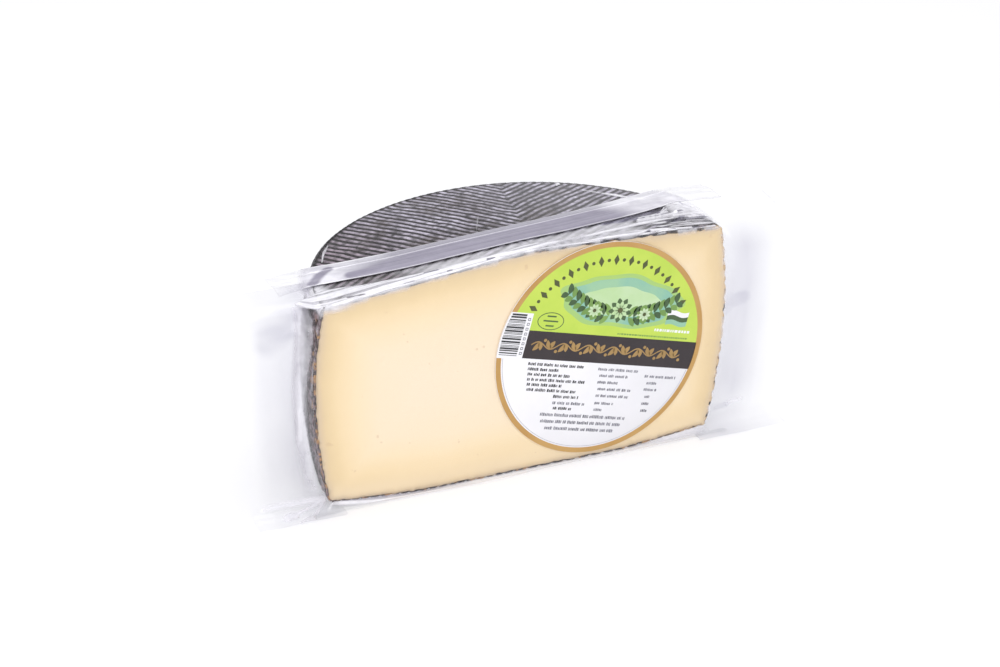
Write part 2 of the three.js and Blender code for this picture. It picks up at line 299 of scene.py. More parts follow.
def half_wheel(out, relief, columns, rows, step, top_inside, base_inside, front=0.0):
    """The surface of the half wheel without its cut face. It stands out by out from the ridge tops, with
    relief of the mat's print sunk into it, and its edge lies in the plane y = front. Returns points, faces,
    heights on the print, and the closed edge: down the left, along the base, up the right, and back."""
    line, normal = profile(rows)
    levels, width = len(line), columns + 1
    theta = np.linspace(0, math.pi, width)
    radius, z = line[:, :1], line[:, 1:] + 0 * theta
    x, y = -radius * np.cos(theta), radius * np.sin(theta)
    y[:, 0] = y[:, -1] = 0
    upper, lower = ramp(z, SIDE_HIGH, crown(TOP_RADIUS - RIM)), ramp(z, SIDE_LOW, SIDE_LOW - RIM)
    side = (1 - np.maximum(upper, lower)) * strands(math.pi - theta, z)
    height = worn(upper * herringbone(x, y, TOP_FOLD) + lower * herringbone(x, y, BASE_FOLD) + side, x, y, z)
    sunk = GROOVE * relief * (1 - height) * (1 - 0.88 * hump(z, RUBBED_LEVEL, 3.4))
    height = height * (1 - 0.36 * hump(z, RUBBED_LEVEL, 2.2))
    swell = 0.5 * clouds(x / 34, y / 34, z / 34, 2) * ramp(radius, 84, 90)
    move = (out - sunk + swell) * normal[:, :1]
    x = x - move * np.cos(theta)
    y = y + move * np.sin(theta)
    z = z + (out - sunk) * normal[:, 1:]
    y[:, 0] = y[:, -1] = front

    def cap(fold, inside, rim, top):
        """A face of the wheel inside its rim: points, heights, faces, and the number of points on the cut."""
        xs = np.linspace(rim, -rim, int(2 * rim / step) + 1)[1:-1]
        around = np.stack([-rim * np.cos(theta), rim * np.sin(theta)], 1)
        around[0, 1] = around[-1, 1] = 0
        inside = inside[(np.hypot(inside[:, 0], inside[:, 1]) < rim - 0.6) & (inside[:, 1] > 0.5)]
        straight = np.stack([xs, 0 * xs], 1)
        made = fill(np.concatenate([around, straight]), inside)
        px, py = np.concatenate([straight, inside]).T
        r = np.hypot(px, py)
        fade = ramp(rim - r, 0, 3)
        raised = worn(herringbone(px, py, fold), px, py, 100.0 if top else 0.0)
        depth = out - GROOVE * relief * (1 - raised) * (0.07 + 0.93 * fade if top else 1)
        drift_x, drift_y = (
            (0.75 * noise(px / 9, py / 9, wide + top) + 0.22 * noise(px / 3.4, py / 3.4, narrow)) * fade
            for wide, narrow in ((1.5, 2.5), (5.5, 7.5))
        )
        if top:
            raised = raised * (0.62 + 0.38 * ramp(rim - r, 0, 1.8))
            pz = crown(r) + 0.3 * noise(px / 23, py / 23, 4.5) * fade + depth
        else:
            pz = base_rise(r) - depth
        py = np.where(py <= 0, front, py + drift_y * ramp(py, 0, 4))
        return np.stack([px + drift_x, py, pz], 1), raised, made, len(straight)

    top_points, top_print, top_faces, top_line = cap(TOP_FOLD, top_inside, TOP_RADIUS - RIM, True)
    base_points, base_print, base_faces, base_line = cap(BASE_FOLD, base_inside, BASE_RADIUS - RIM, False)
    first_top = levels * width
    first_base = first_top + len(top_points)
    top_index = np.concatenate([np.arange(width), first_top + np.arange(len(top_points))])
    last_row = np.arange(width) + (levels - 1) * width
    base_index = np.concatenate([last_row, first_base + np.arange(len(base_points))])
    faces = [quads(levels, width)[:, ::-1], top_index[top_faces], base_index[base_faces][:, ::-1]]
    points = leaned(np.concatenate([np.stack([x, y, z], 2).reshape(-1, 3), top_points, base_points]))
    down = np.arange(levels) * width
    edge = np.concatenate([
        down,
        first_base + np.arange(base_line)[::-1],
        down[::-1] + columns,
        first_top + np.arange(top_line),
    ])
    return points, faces, np.concatenate([height.ravel(), top_print, base_print]), edge


def worn(h, x, y, z):
    """Strands as the mat leaves them: a little beaded along their length, and flatter in places."""
    beads = 0.5 + 0.5 * noise(x / 1.9, y / 1.9, z / 1.9)
    patches = 0.5 + 0.5 * noise(x / 11, y / 11, z / 11 + 7)
    return h * (1 - 0.3 * beads * (0.4 + 0.6 * patches))


def cut_face(edge_points, step):
    """Loose places (x, z) in the plane of the cut, how far inside its edge each is, and triangles over it."""
    outline = edge_points[:, [0, 2]]
    x, z = (c.ravel() for c in np.meshgrid(np.arange(-97, 97, step), np.arange(0.6, 106, step)))
    x = x + 0.2 * step * noise(x * 3.1, z * 3.1)
    depth = distance_inside(np.stack([x, z], 1), outline)
    keep = depth > step * 0.5
    inside = np.stack([x, z], 1)[keep]
    return inside, depth[keep], fill(outline, inside)


def distance_inside(points, outline):
    """How far each point is inside a closed outline. Negative outside it."""
    a, b = outline, np.roll(outline, -1, 0)
    ab = b - a
    length = np.maximum((ab ** 2).sum(1), 1e-12)
    best = np.full(len(points), 1e9)
    crossings = np.zeros(len(points), int)
    for start in range(0, len(points), 2000):
        part = points[start:start + 2000]
        rel = part[:, None] - a[None]
        t = np.clip((rel * ab).sum(2) / length, 0, 1)
        gap = np.linalg.norm(rel - t[..., None] * ab, axis=2).min(1)
        best[start:start + 2000] = gap
        rises = (a[None, :, 1] > part[:, None, 1]) != (b[None, :, 1] > part[:, None, 1])
        slope = np.where(np.abs(ab[:, 1]) < 1e-12, 1e-12, ab[:, 1])
        at = a[None, :, 0] + (part[:, None, 1] - a[None, :, 1]) / slope * ab[None, :, 0]
        crossings[start:start + 2000] = (rises & (at > part[:, None, 0])).sum(1)
    return np.where(crossings % 2 == 1, best, -best)


# Materials. Each is a node tree of its own.


def rgba(colour):
    """A colour's socket as it is, or a plain colour with its alpha."""
    return colour if isinstance(colour, bpy.types.NodeSocket) else (*colour, 1)


class Shader:
    """A material's nodes, made in one call each."""

    def __init__(self, name):
        self.material = bpy.data.materials.new(name)
        self.material.use_nodes = True
        self.tree = self.material.node_tree
        self.tree.nodes.clear()

    def add(self, kind, inputs=None, **settings):
        node = self.tree.nodes.new("ShaderNode" + kind)
        for key, value in settings.items():
            setattr(node, key, value)
        for key, value in (inputs or {}).items():
            if isinstance(value, bpy.types.NodeSocket):
                self.tree.links.new(value, node.inputs[key])
            else:
                node.inputs[key].default_value = value
        return node

    def value(self, name):
        return self.add("Attribute", attribute_name=name).outputs["Fac"]

    def noise(self, scale, detail=3.0, rough=0.55):
        place = self.add("TexCoord").outputs["Object"]
        inputs = {"Vector": place, "Scale": scale, "Detail": detail, "Roughness": rough}
        return self.add("TexNoise", inputs).outputs["Fac"]

    def span(self, value, from_low, from_high, to_low=0, to_high=1):
        return self.add("MapRange", {
            "Value": value, "From Min": from_low, "From Max": from_high, "To Min": to_low, "To Max": to_high,
        }).outputs["Result"]

    def ramp(self, fac, stops):
        node = self.add("ValToRGB", {"Fac": fac})
        elements = node.color_ramp.elements
        while len(elements) < len(stops):
            elements.new(0.5)
        for element, (place, colour) in zip(elements, stops):
            element.position = place
            element.color = rgba(colour)
        return node.outputs["Color"]

    def mix(self, fac, a, b, blend="MIX"):
        inputs = {0: fac, 6: rgba(a), 7: rgba(b)}
        return self.add("Mix", inputs, data_type="RGBA", blend_type=blend).outputs[2]

    def math(self, operation, a, b, clamp=False):
        return self.add("Math", {0: a, 1: b}, operation=operation, use_clamp=clamp).outputs[0]

    def times(self, name, factor):
        """A number held by point, times a factor, from 0 to 1."""
        return self.math("MULTIPLY", self.value(name), factor, True)

    def over(self, fac, below, above):
        return self.add("MixShader", {0: fac, 1: below, 2: above}).outputs[0]

    def bump(self, height, strength, distance):
        inputs = {"Height": height, "Strength": strength, "Distance": distance}
        return self.add("Bump", inputs).outputs["Normal"]

    def principled(self, colour, roughness, normal=None, **extra):
        inputs = {"Base Color": rgba(colour), "Roughness": roughness}
        if normal is not None:
            inputs["Normal"] = normal
        inputs.update({key.replace("_", " "): value for key, value in extra.items()})
        return self.add("BsdfPrincipled", inputs).outputs[0]

    def out(self, shader):
        self.add("OutputMaterial", {"Surface": shader})
        return self.material


def rind_material():
    """Near black in the grooves, partly as painted shade, and grey to lilac white on the strands, whose
    brightest tops are a painted highlight; browner where dusk, pressed, amber and tan say.
    """
    s = Shader("dark_pressed_rind")
    blotch = s.noise(55, 4)
    fine = s.noise(900, 4, 0.6)
    # By the print's height: the rind's own dark grooves and paler strands, with painted shade deepening the
    # grooves and a painted highlight on the strands' tops.
    colour = s.ramp(s.value("height"), [
        (0.0, (0.004, 0.003, 0.004)),
        (0.55, (0.010, 0.008, 0.010)),
        (0.74, (0.06, 0.050, 0.060)),
        (0.87, (0.40, 0.37, 0.45)),
        (1.0, (0.80, 0.76, 0.90)),
    ])
    colour = s.mix(s.value("dusk"), colour, s.mix(1.0, colour, (0.60, 0.52, 0.52), "MULTIPLY"))
    colour = s.mix(s.span(blotch, 0.46, 0.68, 0, 0.6), colour, (0.05, 0.036, 0.024))
    colour = s.mix(s.span(fine, 0.5, 0.7, 0, 0.25), colour, (0.16, 0.145, 0.15))
    colour = s.mix(s.span(s.noise(330), 0.48, 0.68, 0, 0.7), colour, (0.008, 0.007, 0.008))
    pressed = s.mix(s.span(s.noise(380), 0.44, 0.56), (0.035, 0.014, 0.010), (0.33, 0.235, 0.25))
    colour = s.mix(s.times("pressed", 0.85), colour, pressed)
    colour = s.mix(s.times("amber", s.span(s.noise(260, 2), 0.53, 0.6)), colour, (0.47, 0.25, 0.09))
    colour = s.mix(s.times("tan", s.span(s.noise(420, 2), 0.36, 0.46)), colour, (0.66, 0.48, 0.28))
    return s.out(s.principled(colour, s.span(blotch, 0.3, 0.7, 0.6, 0.85), s.bump(fine, 0.5, 0.0004)))


def paste_material():
    """Amber at the rind and cream further in, by depth in mm, and paler where pale says."""
    s = Shader("cream_paste")
    soft = s.noise(38)
    deep = s.math("MULTIPLY", s.value("depth"), 0.02)
    colour = s.ramp(s.math("ADD", deep, s.span(soft, 0.25, 0.75, -0.03, 0.03), True), [
        (0.0, (0.68, 0.53, 0.35)),
        (0.06, (0.78, 0.605, 0.355)),
        (0.13, (0.835, 0.65, 0.38)),
        (0.20, (0.885, 0.70, 0.43)),
        (0.34, (0.92, 0.75, 0.50)),
        (0.52, (0.93, 0.77, 0.56)),
        (0.9, (0.93, 0.78, 0.59)),
    ])
    fine = s.noise(700, 4, 0.6)
    colour = s.mix(s.value("pale"), colour, (0.93, 0.77, 0.545))
    colour = s.mix(s.span(fine, 0.3, 0.7, 0, 0.06), colour, (0.70, 0.50, 0.30))
    colour = s.mix(s.span(s.noise(210, 2), 0.72, 0.76, 0, 0.35), colour, (0.62, 0.42, 0.24))
    return s.out(s.principled(colour, s.span(soft, 0.3, 0.7, 0.42, 0.55), s.bump(fine, 0.12, 0.0003)))


# The film's colours: the tint where its painted shade is full, the grey of its veil, the white of creased
# film and of painted highlights, and its least sheen.
FILM_TINT = (0.38, 0.37, 0.50)
FILM_GREY = (0.40, 0.375, 0.475)
FILM_MILK_AND_HIGHLIGHT = (0.93, 0.92, 0.965)
FILM_LEAST_SHEEN = 0.02


def film_material(name, rough, gloss):
    """Clear film: what is behind it, made darker by its painted shade; a grey veil, for doubled film and in
    places a painted glare or shade;
    a milky white, for creased film and for painted highlights; and a sheen on all of it."""
    s = Shader(name)
    veiled = s.times("haze_and_highlight", s.span(s.noise(240, 3, 0.6), 0.3, 0.7, 0.85, 1.1))
    greyed = s.times("grey_veil", s.span(s.noise(160, 3, 0.6), 0.3, 0.7, 0.9, 1.08))
    through = s.add("BsdfTransparent", {"Color": s.mix(s.value("shade"), (1, 1, 1), FILM_TINT)}).outputs[0]
    normal = s.bump(s.noise(420, 2), 0.15, 0.0003)
    body = s.over(greyed, through, s.principled(FILM_GREY, 0.4, normal))
    body = s.over(veiled, body, s.principled(FILM_MILK_AND_HIGHLIGHT, 0.35, normal))
    shine = s.add("BsdfGlossy", {"Color": (1, 1, 1, 1), "Roughness": rough, "Normal": normal}).outputs[0]
    facing = s.add("LayerWeight", {"Blend": 0.5, "Normal": normal}).outputs["Facing"]
    edge = s.math("MULTIPLY_ADD", s.math("POWER", facing, 5.0), gloss, True)
    edge.node.inputs[2].default_value = FILM_LEAST_SHEEN
    return s.out(s.over(edge, body, shine))


def print_material(name, colour, other):
    """Printed paper: its colour, a second colour that drifts through it, and the paper's tooth."""
    s = Shader(name)
    tooth = s.noise(1500, 3, 0.6)
    tone = s.mix(s.span(s.noise(60), 0.35, 0.65), colour, other)
    return s.out(s.principled(tone, s.span(tooth, 0.3, 0.7, 0.37, 0.48), s.bump(tooth, 0.08, 0.0001)))


def floor_material():
    s = Shader("pale_table")
    tone = s.mix(s.noise(6, 2), (0.60, 0.60, 0.607), (0.62, 0.62, 0.627))
    return s.out(s.principled(tone, 0.9, Emission_Color=(0.97, 0.97, 1.0, 1), Emission_Strength=0.395))


# The cheese.


def make_rind(outer, inner):
    points, faces, height, edge = outer
    inner_points, inner_faces, inner_edge = inner
    count = len(points)
    rim = np.stack([edge, inner_edge + count, np.roll(inner_edge, -1) + count, np.roll(edge, -1)], 1)
    x, y, z = points.T
    beside_cut = ramp(x, -78, -90) * ramp(y, 34, 20) * ramp(z, 96.5, 94)
    dusk = ramp(x + 0.4 * y, 10, -60) + 0.5 * ramp(z, 96, 92) + 0.6 * ramp(x, 56, 70) * ramp(y, 22, 16)
    outside = {
        "height": height * (1 - 0.2 * beside_cut),
        "amber": ramp(y, 7, 0) * ramp(z, 98, 91),
        "pressed": beside_cut * ramp(y, 14, 6),
        "dusk": np.minimum(dusk, 1),
        "tan": ramp(x, 78, 88) * ramp(y, 5, 1),
    }
    inside = {"height": 0.42, "amber": 0.8, "pressed": 0, "dusk": 1, "tan": ramp(inner_points[:, 0], 60, 85)}
    none = np.zeros(len(inner_points))
    values = {key: np.concatenate([outside[key], none + inside[key]]) for key in outside}
    faces = faces + [f[:, ::-1] + count for f in inner_faces] + [rim]
    return build("cheese_rind", np.concatenate([points, inner_points]), faces, rind_material(), values)


# Small pits in the cut, as (x, z).
PITS = ((-24.6, 80.4), (-52.5, 40.9), (-3.0, 22.0), (-66.0, 66.0), (-38.0, 61.0))
PIT_RADIUS, PIT_DEPTH = 1.4, 0.5


def make_paste(points, faces, edge):
    inside, depth, cut = cut_face(points[edge], 1.15)
    x, z = inside.T
    swell = 0.22 * clouds(x / 19, z / 19, 2.0) + 0.05 * noise(x / 2.3, z / 2.3, 8.0)
    for pit_x, pit_z in PITS:
        swell = swell - PIT_DEPTH * hump(np.hypot(x - pit_x, z - pit_z), 0, PIT_RADIUS)
    face = np.stack([x, (0.22 - swell) * ramp(depth, 0.3, 4), z], 1)
    index = np.concatenate([edge, len(points) + np.arange(len(face))])
    nets = {"depth": depth, "pale": 0.5 * ramp(z, 16, 5) * ramp(depth, 0.5, 3)}
    values = {key: np.concatenate([np.zeros(len(points)), numbers]) for key, numbers in nets.items()}
    everything = np.concatenate([points, face])
    return build("cheese_paste", everything, faces + [index[cut]], paste_material(), values)


def make_cheese():
    """The rind, and the paste in it. The rind's inner surface is the paste's outer one."""
    top = ridge_points(TOP_FOLD, (0.0, 0.14, 0.3, 0.51, 0.72, 0.87), 0.85)
    base = ridge_points(BASE_FOLD, (0.0, 0.3, 0.72), 1.7)
    outer = half_wheel(0.0, 1.0, 330, 100, 0.6, top, base)
    sparse = ridge_points(TOP_FOLD, (0.0,), 9.0)
    points, faces, _, edge = half_wheel(-RIND, 0.0, 60, 100, 0.6, sparse, sparse)
    away = outer[0][outer[3]] - points[edge]
    away /= np.maximum(np.linalg.norm(away, axis=1), 0.05)[:, None]
    uneven = np.minimum(0.5 * noise(points[edge, 0] / 2.1, points[edge, 2] / 2.1, 3.0), 0.18)
    points[edge] -= uneven[:, None] * away
    points[edge, 1] = 0
    return make_rind(outer, (points, faces, edge)), make_paste(points, faces, edge)


# The clear pouch. Lines are lists of places on the top as (x, y), unless they say otherwise.


def net(u, v):
    """Two coordinates over a net of points: the first goes with the rows, the second with the columns."""
    return np.meshgrid(u, v, indexing="ij")


def both_sides(haze_and_highlight, shade=0, grey_veil=0, way=1):
    """The film's numbers for both nets of a slab. way is -1 for nets whose columns are turned round."""
    numbers = {"haze_and_highlight": haze_and_highlight, "shade": shade, "grey_veil": grey_veil}
    return {key: np.tile(np.clip(0 * haze_and_highlight + n, 0, 1)[:, ::way].ravel(), 2) for key, n in numbers.items()}


def sheet(name, upper, lower, material, haze_and_highlight, shade=0, grey_veil=0, mirrored=True):
    """A closed sheet of film between two nets. mirrored is for nets that run left-handed."""
    way = -1 if mirrored else 1
    points, faces = slab(upper[:, ::way], lower[:, ::way])
    return build(name, points, faces, material, both_sides(haze_and_highlight, shade, grey_veil, way))


def along_lines(x, y, lines):
    """Nearness to each (places, half width) line: 1 on it, 0 past its half width."""
    best = np.zeros(np.broadcast(x, y).shape)
    for places, half in lines:
        for (x0, y0), (x1, y1) in zip(places[:-1], places[1:]):
            dx, dy = x1 - x0, y1 - y0
            t = np.clip(((x - x0) * dx + (y - y0) * dy) / (dx * dx + dy * dy), 0, 1)
            gap = np.hypot(x - x0 - t * dx, y - y0 - t * dy)
            best = np.maximum(best, 1 - ramp(gap, half * 0.35, half))
    return best


FLAP_LEFT, FLAP_RIGHT = -103.0, 108.0
FLAP_FRONT, FLAP_BACK, FLAP_BOW = 10.5, 29.3, 0.0019
FLAP_WELD, FLAP_HEM = 0.65, 0.012
# Lines of painted slate shadow on the flap's folds, as (places, half width).
FLAP_SLATE_SHADOW = (([(-88, 22), (-83, 27), (-78, 31)], 3.2), ([(-50, 18), (-72, 20)], 3.6))


def flap_place(x, v):
    """How far back the flap lies at x, v going from 0 at its front edge to 1 at its back one."""
    bow = FLAP_BOW * (np.clip(x, -85, 85) + 14) ** 2
    return FLAP_FRONT + (FLAP_BACK - FLAP_FRONT) * v + bow


def make_skin(material):
    """The film that clings to the cheese all round."""
    top = ridge_points(TOP_FOLD, (0.0, 0.3, 0.72), 1.7)
    base = ridge_points(BASE_FOLD, (0.0, 0.5), 2.6)
    points, faces, _, edge = half_wheel(SKIN_GAP, 0.45, 220, 66, 1.2, top, base, CUT_GAP)
    inside, depth, cut = cut_face(points[edge], 2.2)
    u, v = inside.T
    out = CUT_GAP - 0.08 * ramp(depth, 0, 3) + 0.05 * noise(u / 7, v / 7)
    index = np.concatenate([edge, len(points) + np.arange(len(u))])
    everything = np.concatenate([points, np.stack([u, out, v], 1)])

    x, y, z = points.T
    front = flap_place(x, 0.0)
    strip = ramp(y, front + 1.5, front - 0.5) * ramp(z, 89, 93) * ramp(x, 62, 50)
    flank = ramp(-x, 84, 90) * ramp(y, 14, 9)
    # Light painted on the film over the cheese: faint scuffs, a painted sheen over the strip in front of the
    # flap, a painted highlight at the front of the top's left end, painted glints on the left flank and a
    # painted sheen over the right of the top.
    scuffs_and_sheen = np.maximum.reduce([
        0.05 * ramp(clouds(x / 6, y / 6, z / 6), 0.1, 0.6),
        strip * (0.13 + 0.42 * ramp(x, -62, -35) + 0.12 * noise(x / 4, y / 1.6, 4.0)),
        0.85 * ramp(x, -80, -88) * ramp(z - LEAN * x, 94, 95.8) * ramp(y, 40, 24),
        0.36 * flank * ramp(noise(x / 3, y / 1.5, z / 2.2), 0.25, 0.55),
        0.10 * ramp(x, -10, 40) * ramp(z, 93, 97),
    ])
    # A painted highlight on the cut's upper left corner, and a faint pale margin round the cut.
    corner = ramp(u, -74, -86) * ramp(v - top_height(u, 0), -3.0, -1.2)
    haze_and_highlight = np.concatenate([scuffs_and_sheen, np.maximum(0.07 * (1 - ramp(depth, 0.6, 3.0)), 0.7 * corner)])

    # Along the cut's edge: a painted highlight on its top edge, whole on the left and broken to the right,
    # painted white dots down the right edge, and a painted highlight high on the left edge.
    x, _, z = points[edge].T
    top_edge = ramp(z - top_height(x, 0), -2.5, -0.5)
    broken = ramp(noise(x / 3.1, 7.0), -0.35, 0.15)
    white = ramp(x, 30, -30)
    right = ramp(x, 76, 88) * ramp(noise(z / 2.4, 3.0), -0.2, 0.3)
    streaks = np.clip(0.08 + top_edge * (0.64 * white + 0.5 * broken * (1 - white)) + 0.5 * right, 0, 0.9)
    haze_and_highlight[edge] = np.maximum(streaks, 0.85 * ramp(x, -80, -90) * ramp(z, 89.5, 91.5))
    return build("film_skin", everything, faces + [index[cut]], material, {"haze_and_highlight": haze_and_highlight, "grey_veil": 0 * haze_and_highlight})


def make_flap(material):
    """The pouch's spare end, folded back over the top and lying on it as a flat band."""
    weld_rows = FLAP_WELD + np.array([-0.02, -0.012, -0.005, 0.005, 0.012, 0.02])
    v = np.unique(np.concatenate([np.linspace(0, 1, 58), [0.008, 0.02, 0.034, 0.985], weld_rows]))
    X, V = net(np.linspace(FLAP_LEFT, FLAP_RIGHT, 360), v)
    Y = flap_place(X, V)
    past = np.maximum(0, np.hypot(X, Y) - TOP_REACH)
    rest = np.where(past > 0, crown(TOP_REACH) - 0.1 * past + LEAN * X, top_height(X, Y))
    lift = 0.5 + 1.1 * np.sin(math.pi * (0.12 + 0.76 * V))
    weld = 0.35 * np.maximum(hump(V, FLAP_HEM, 0.03), hump(V, FLAP_WELD, 0.03))
    streaks = noise(X / 55, V * 13, 2.0)
    waves = 0.22 * noise(X / 30, V * 3, 6.0) + 0.10 * streaks
    end = np.maximum(ramp(X, -70, -92), ramp(X, 66, 88))
    crumple = end * 0.8 * np.abs(noise(X / 9 + V * 1.7, V * 4, 9.0))
    upper = rest + lift + weld + waves + crumple

    # Painted on the flap: highlights along its hem and weld lines, along its back edge and at both ends,
    # broken by painted slate shadows in the folds at the left; past the cheese, painted shade in its folds'
    # hollows.
    bright = np.maximum(hump(V, FLAP_HEM, 0.026), hump(V, FLAP_WELD, 0.022))
    left = ramp(X + 5 * noise(X / 12, V * 5, 14.0) - 15 * (V - 0.4), -52, -80)
    right = ramp(X + 5 * noise(X / 12, V * 5, 17.0) + 16 * (V - 0.5), 44, 62)
    rear_band = ramp(V, FLAP_WELD - 0.02, FLAP_WELD + 0.02)
    grey_veil = 0.62 + 0.06 * streaks + 0.08 * noise(X / 26, V * 30, 4.0) - 0.10 * rear_band
    haze_and_highlight = 0.015 + (0.11 + 0.06 * ramp(X, 0, 50)) * rear_band + 0.03 * np.maximum(streaks, 0)
    haze_and_highlight = haze_and_highlight + 0.10 * ramp(V, 0.86, 1.0) * ramp(X, -40, -60) + 0.60 * bright + 0.30 * hump(V, 0.985, 0.035)
    folds = clouds(X / 13 + 2.2 * V, V * 2.6, 3.0)
    slate_shadow = along_lines(X, Y, FLAP_SLATE_SHADOW)
    haze_and_highlight = haze_and_highlight + left * (0.66 + 0.45 * folds - 0.8 * slate_shadow) + right * (0.62 + 0.4 * folds)
    outside = ramp(past, 1, 7)
    haze_and_highlight = haze_and_highlight * (1 - outside) + outside * (0.05 + 0.10 * np.maximum(folds, 0) + 0.1 * bright)
    shade = 0.07 * outside * ramp(-folds, 0.0, 0.7)
    top, under = np.stack([X, Y, upper], 2), np.stack([X, Y, upper - 0.3], 2)
    return sheet("film_flap", top, under, material, haze_and_highlight, shade, grey_veil * (1 - outside))


def smooth_line(places, count):
    """Places on the smooth curve through the given ones, evenly spaced."""
    p = np.array([places[0], *places, places[-1]], float)
    t = np.linspace(0, 1, 24, endpoint=False)[:, None]
    parts = []
    for a, b, c, d in zip(p[:-3], p[1:-2], p[2:-1], p[3:]):
        parts.append(0.5 * (2 * b + (c - a) * t + (2 * a - 5 * b + 4 * c - d) * t ** 2
                            + (3 * b - a - 3 * c + d) * t ** 3))
    line = np.concatenate(parts + [p[-1:]])
    far = np.concatenate([[0], np.cumsum(np.linalg.norm(np.diff(line, axis=0), axis=1))])
    at = np.linspace(0, far[-1], count)
    return np.stack([np.interp(at, far, line[:, k]) for k in range(line.shape[1])], 1)


# The wings' line from the table up and back over the shoulder, as (y, z), and what each wing has of its own:
# how far out it goes, its painted shadows and glints as lines of (x, z), and its tint by distance from the
# cheese, the film's own tint deepened near the cheese as painted shade.
WING_LINE = ((-7, 0.7), (-1, 1.1), (5, 6), (6, 30), (5, 60), (6, 82), (14, 93.5), (29, 96.5))
WINGS = {
    "film_wing_left": {
        "side": -1,
        "reach": 124.0,
        "shadows": (([(-96, 87.5), (-104, 84.5), (-113, 79.5)], 7.5),),
        "glints": (([(-101, 26), (-102, 70)], 1.3), ([(-103, 83), (-109, 82)], 0.7)),
        "tint_and_shade": ((0, 3, 8, 17, 31), (0.06, 0.13, 0.15, 0.088, 0.035)),
    },
    "film_wing_right": {
        "side": 1,
        "reach": 129.0,
        "shadows": (([(98, 61), (109, 62)], 4.4), ([(96, 8.5), (104, 9)], 1.8)),
        "glints": (([(104, 9.5), (112, 10.5)], 1.2),),
        "tint_and_shade": ((0, 8, 15, 28), (0.145, 0.155, 0.18, 0.05)),
    },
}
# Creases that spread from the left wing's foot, as (x, y) lines; they lift the film and are painted white as
# highlights.
LEFT_FAN = (
    ([(-91, 4.3), (-118, 4.7)], 0.9), ([(-91, 4.2), (-108, -0.9)], 1.0), ([(-106, -0.4), (-109, -1.2)], 2.6),
    ([(-91, 4.0), (-101, -6)], 0.9), ([(-100, -5), (-103, -6.5)], 2.6),
)


def make_wing(name, material):
    """The pouch's flat margin beside the cheese, which splits in two round the cheese's side."""
    wing = WINGS[name]
    side, reach = wing["side"], wing["reach"]
    line = smooth_line(WING_LINE, 190)
    V, U = net(np.arange(len(line)), np.linspace(0, 1, 84))
    y, z = line[V, 0], line[V, 1]
    root = np.where(z > SIDE_HIGH - 2, 84.0, side_radius(np.clip(z, SIDE_LOW, SIDE_HIGH)) - 1.5)
    root = np.where(z < SIDE_LOW, 84 + 4.0 * np.clip(z / SIDE_LOW, 0, 1), root)
    edge = np.minimum(reach + 1.3 * noise(z / 24, side * 3.0) + 0.6 * noise(z / 7, side * 5.0), reach)
    X = root + (edge - root) * U
    beside = X - root.max(1, keepdims=True)
    wave = 1.1 * ramp(z, 4, 20) * np.sin(5.5 * U + 0.035 * z * (2 + side)) * U
    ripple = 0.5 * clouds(X / 26, z / 40, side * 4.0) * ramp(U, 0, 0.3)
    crease = 0.35 * np.abs(noise(X / 7, z / 60, side * 9.0)) * ramp(U, 0.1, 0.4)
    y = y + wave + ripple + crease
    half = 0.15 + 4.6 * ramp(beside, 11, 1) * ramp(z, 3, 10) * ramp(z, 95, 88)
    fan = along_lines(-X, y, LEFT_FAN) * ramp(z, 7, 3) if side < 0 else 0 * X
    z = np.maximum(z + LEAN * side * X * z / HEIGHT, 0.75) + 0.5 * fan
    rise = np.where(ramp(z, 5, 12) < 0.5, 0.15, 0.0)
    top = np.stack([side * X, y - half, z + rise], 2)
    under = np.stack([side * X, y + half, np.maximum(z - rise, 0.25)], 2)

    # The film's own tint, deepened near the cheese and along the shadow lines as painted shade; its white is
    # painted glints, painted highlights on the fan's creases and a little on the folds.
    fold = clouds(X / 11, z / 30, side * 2.0)
    shadow = along_lines(side * X, z, wing["shadows"]) * (0.85 + 0.7 * noise(X / 9, z / 3, 31.0))
    tint_and_shade = np.interp(beside, *wing["tint_and_shade"]) * (1 + 0.35 * fold)
    tint_and_shade = tint_and_shade * (0.55 + 0.45 * ramp(z, 8, 24)) * ramp(z, 100, 86)
    shade = np.clip((tint_and_shade + 0.11 * shadow) * ramp(U, 1.0, 0.7), 0, 1)
    glint = along_lines(side * X, z, wing["glints"]) * ramp(noise(X / 4, z / 9, side * 13.0), -0.3, 0.5)
    haze_and_highlight = (0.30 * glint + 0.55 * fan + 0.04 * np.maximum(fold, 0)) * ramp(U, 1.02, 0.7)
    grey_veil = 0 * haze_and_highlight
    if side < 0:
        # On the left: a painted glare along the cheese's flank, as white and a grey veil, and a painted
        # highlight over the shoulder.
        near = 3.4 - 1.6 * ramp(z, 55, 88)
        flank = ramp(beside, near, near + 1.4) * ramp(beside, 9.8, 6.8) * ramp(z, 5, 12) * ramp(z, 97, 93)
        veil = flank * ramp(beside, 4.2, 6.0) * ramp(z, 35, 60)
        shoulder = ramp(z, 90.5, 93.5) * ramp(beside, 20, 8)
        mottle = 0.6 + 0.4 * ramp(clouds(X / 2.5, z / 6, 21.0), -0.5, 0.3)
        haze_and_highlight = haze_and_highlight + (0.29 * flank + 0.17 * veil) * mottle + 0.7 * shoulder * (0.8 + 0.3 * fold)
        grey_veil = 0.11 * flank + 0.12 * veil
    return sheet(name, top, under, material, haze_and_highlight, shade, grey_veil, mirrored=side < 0)


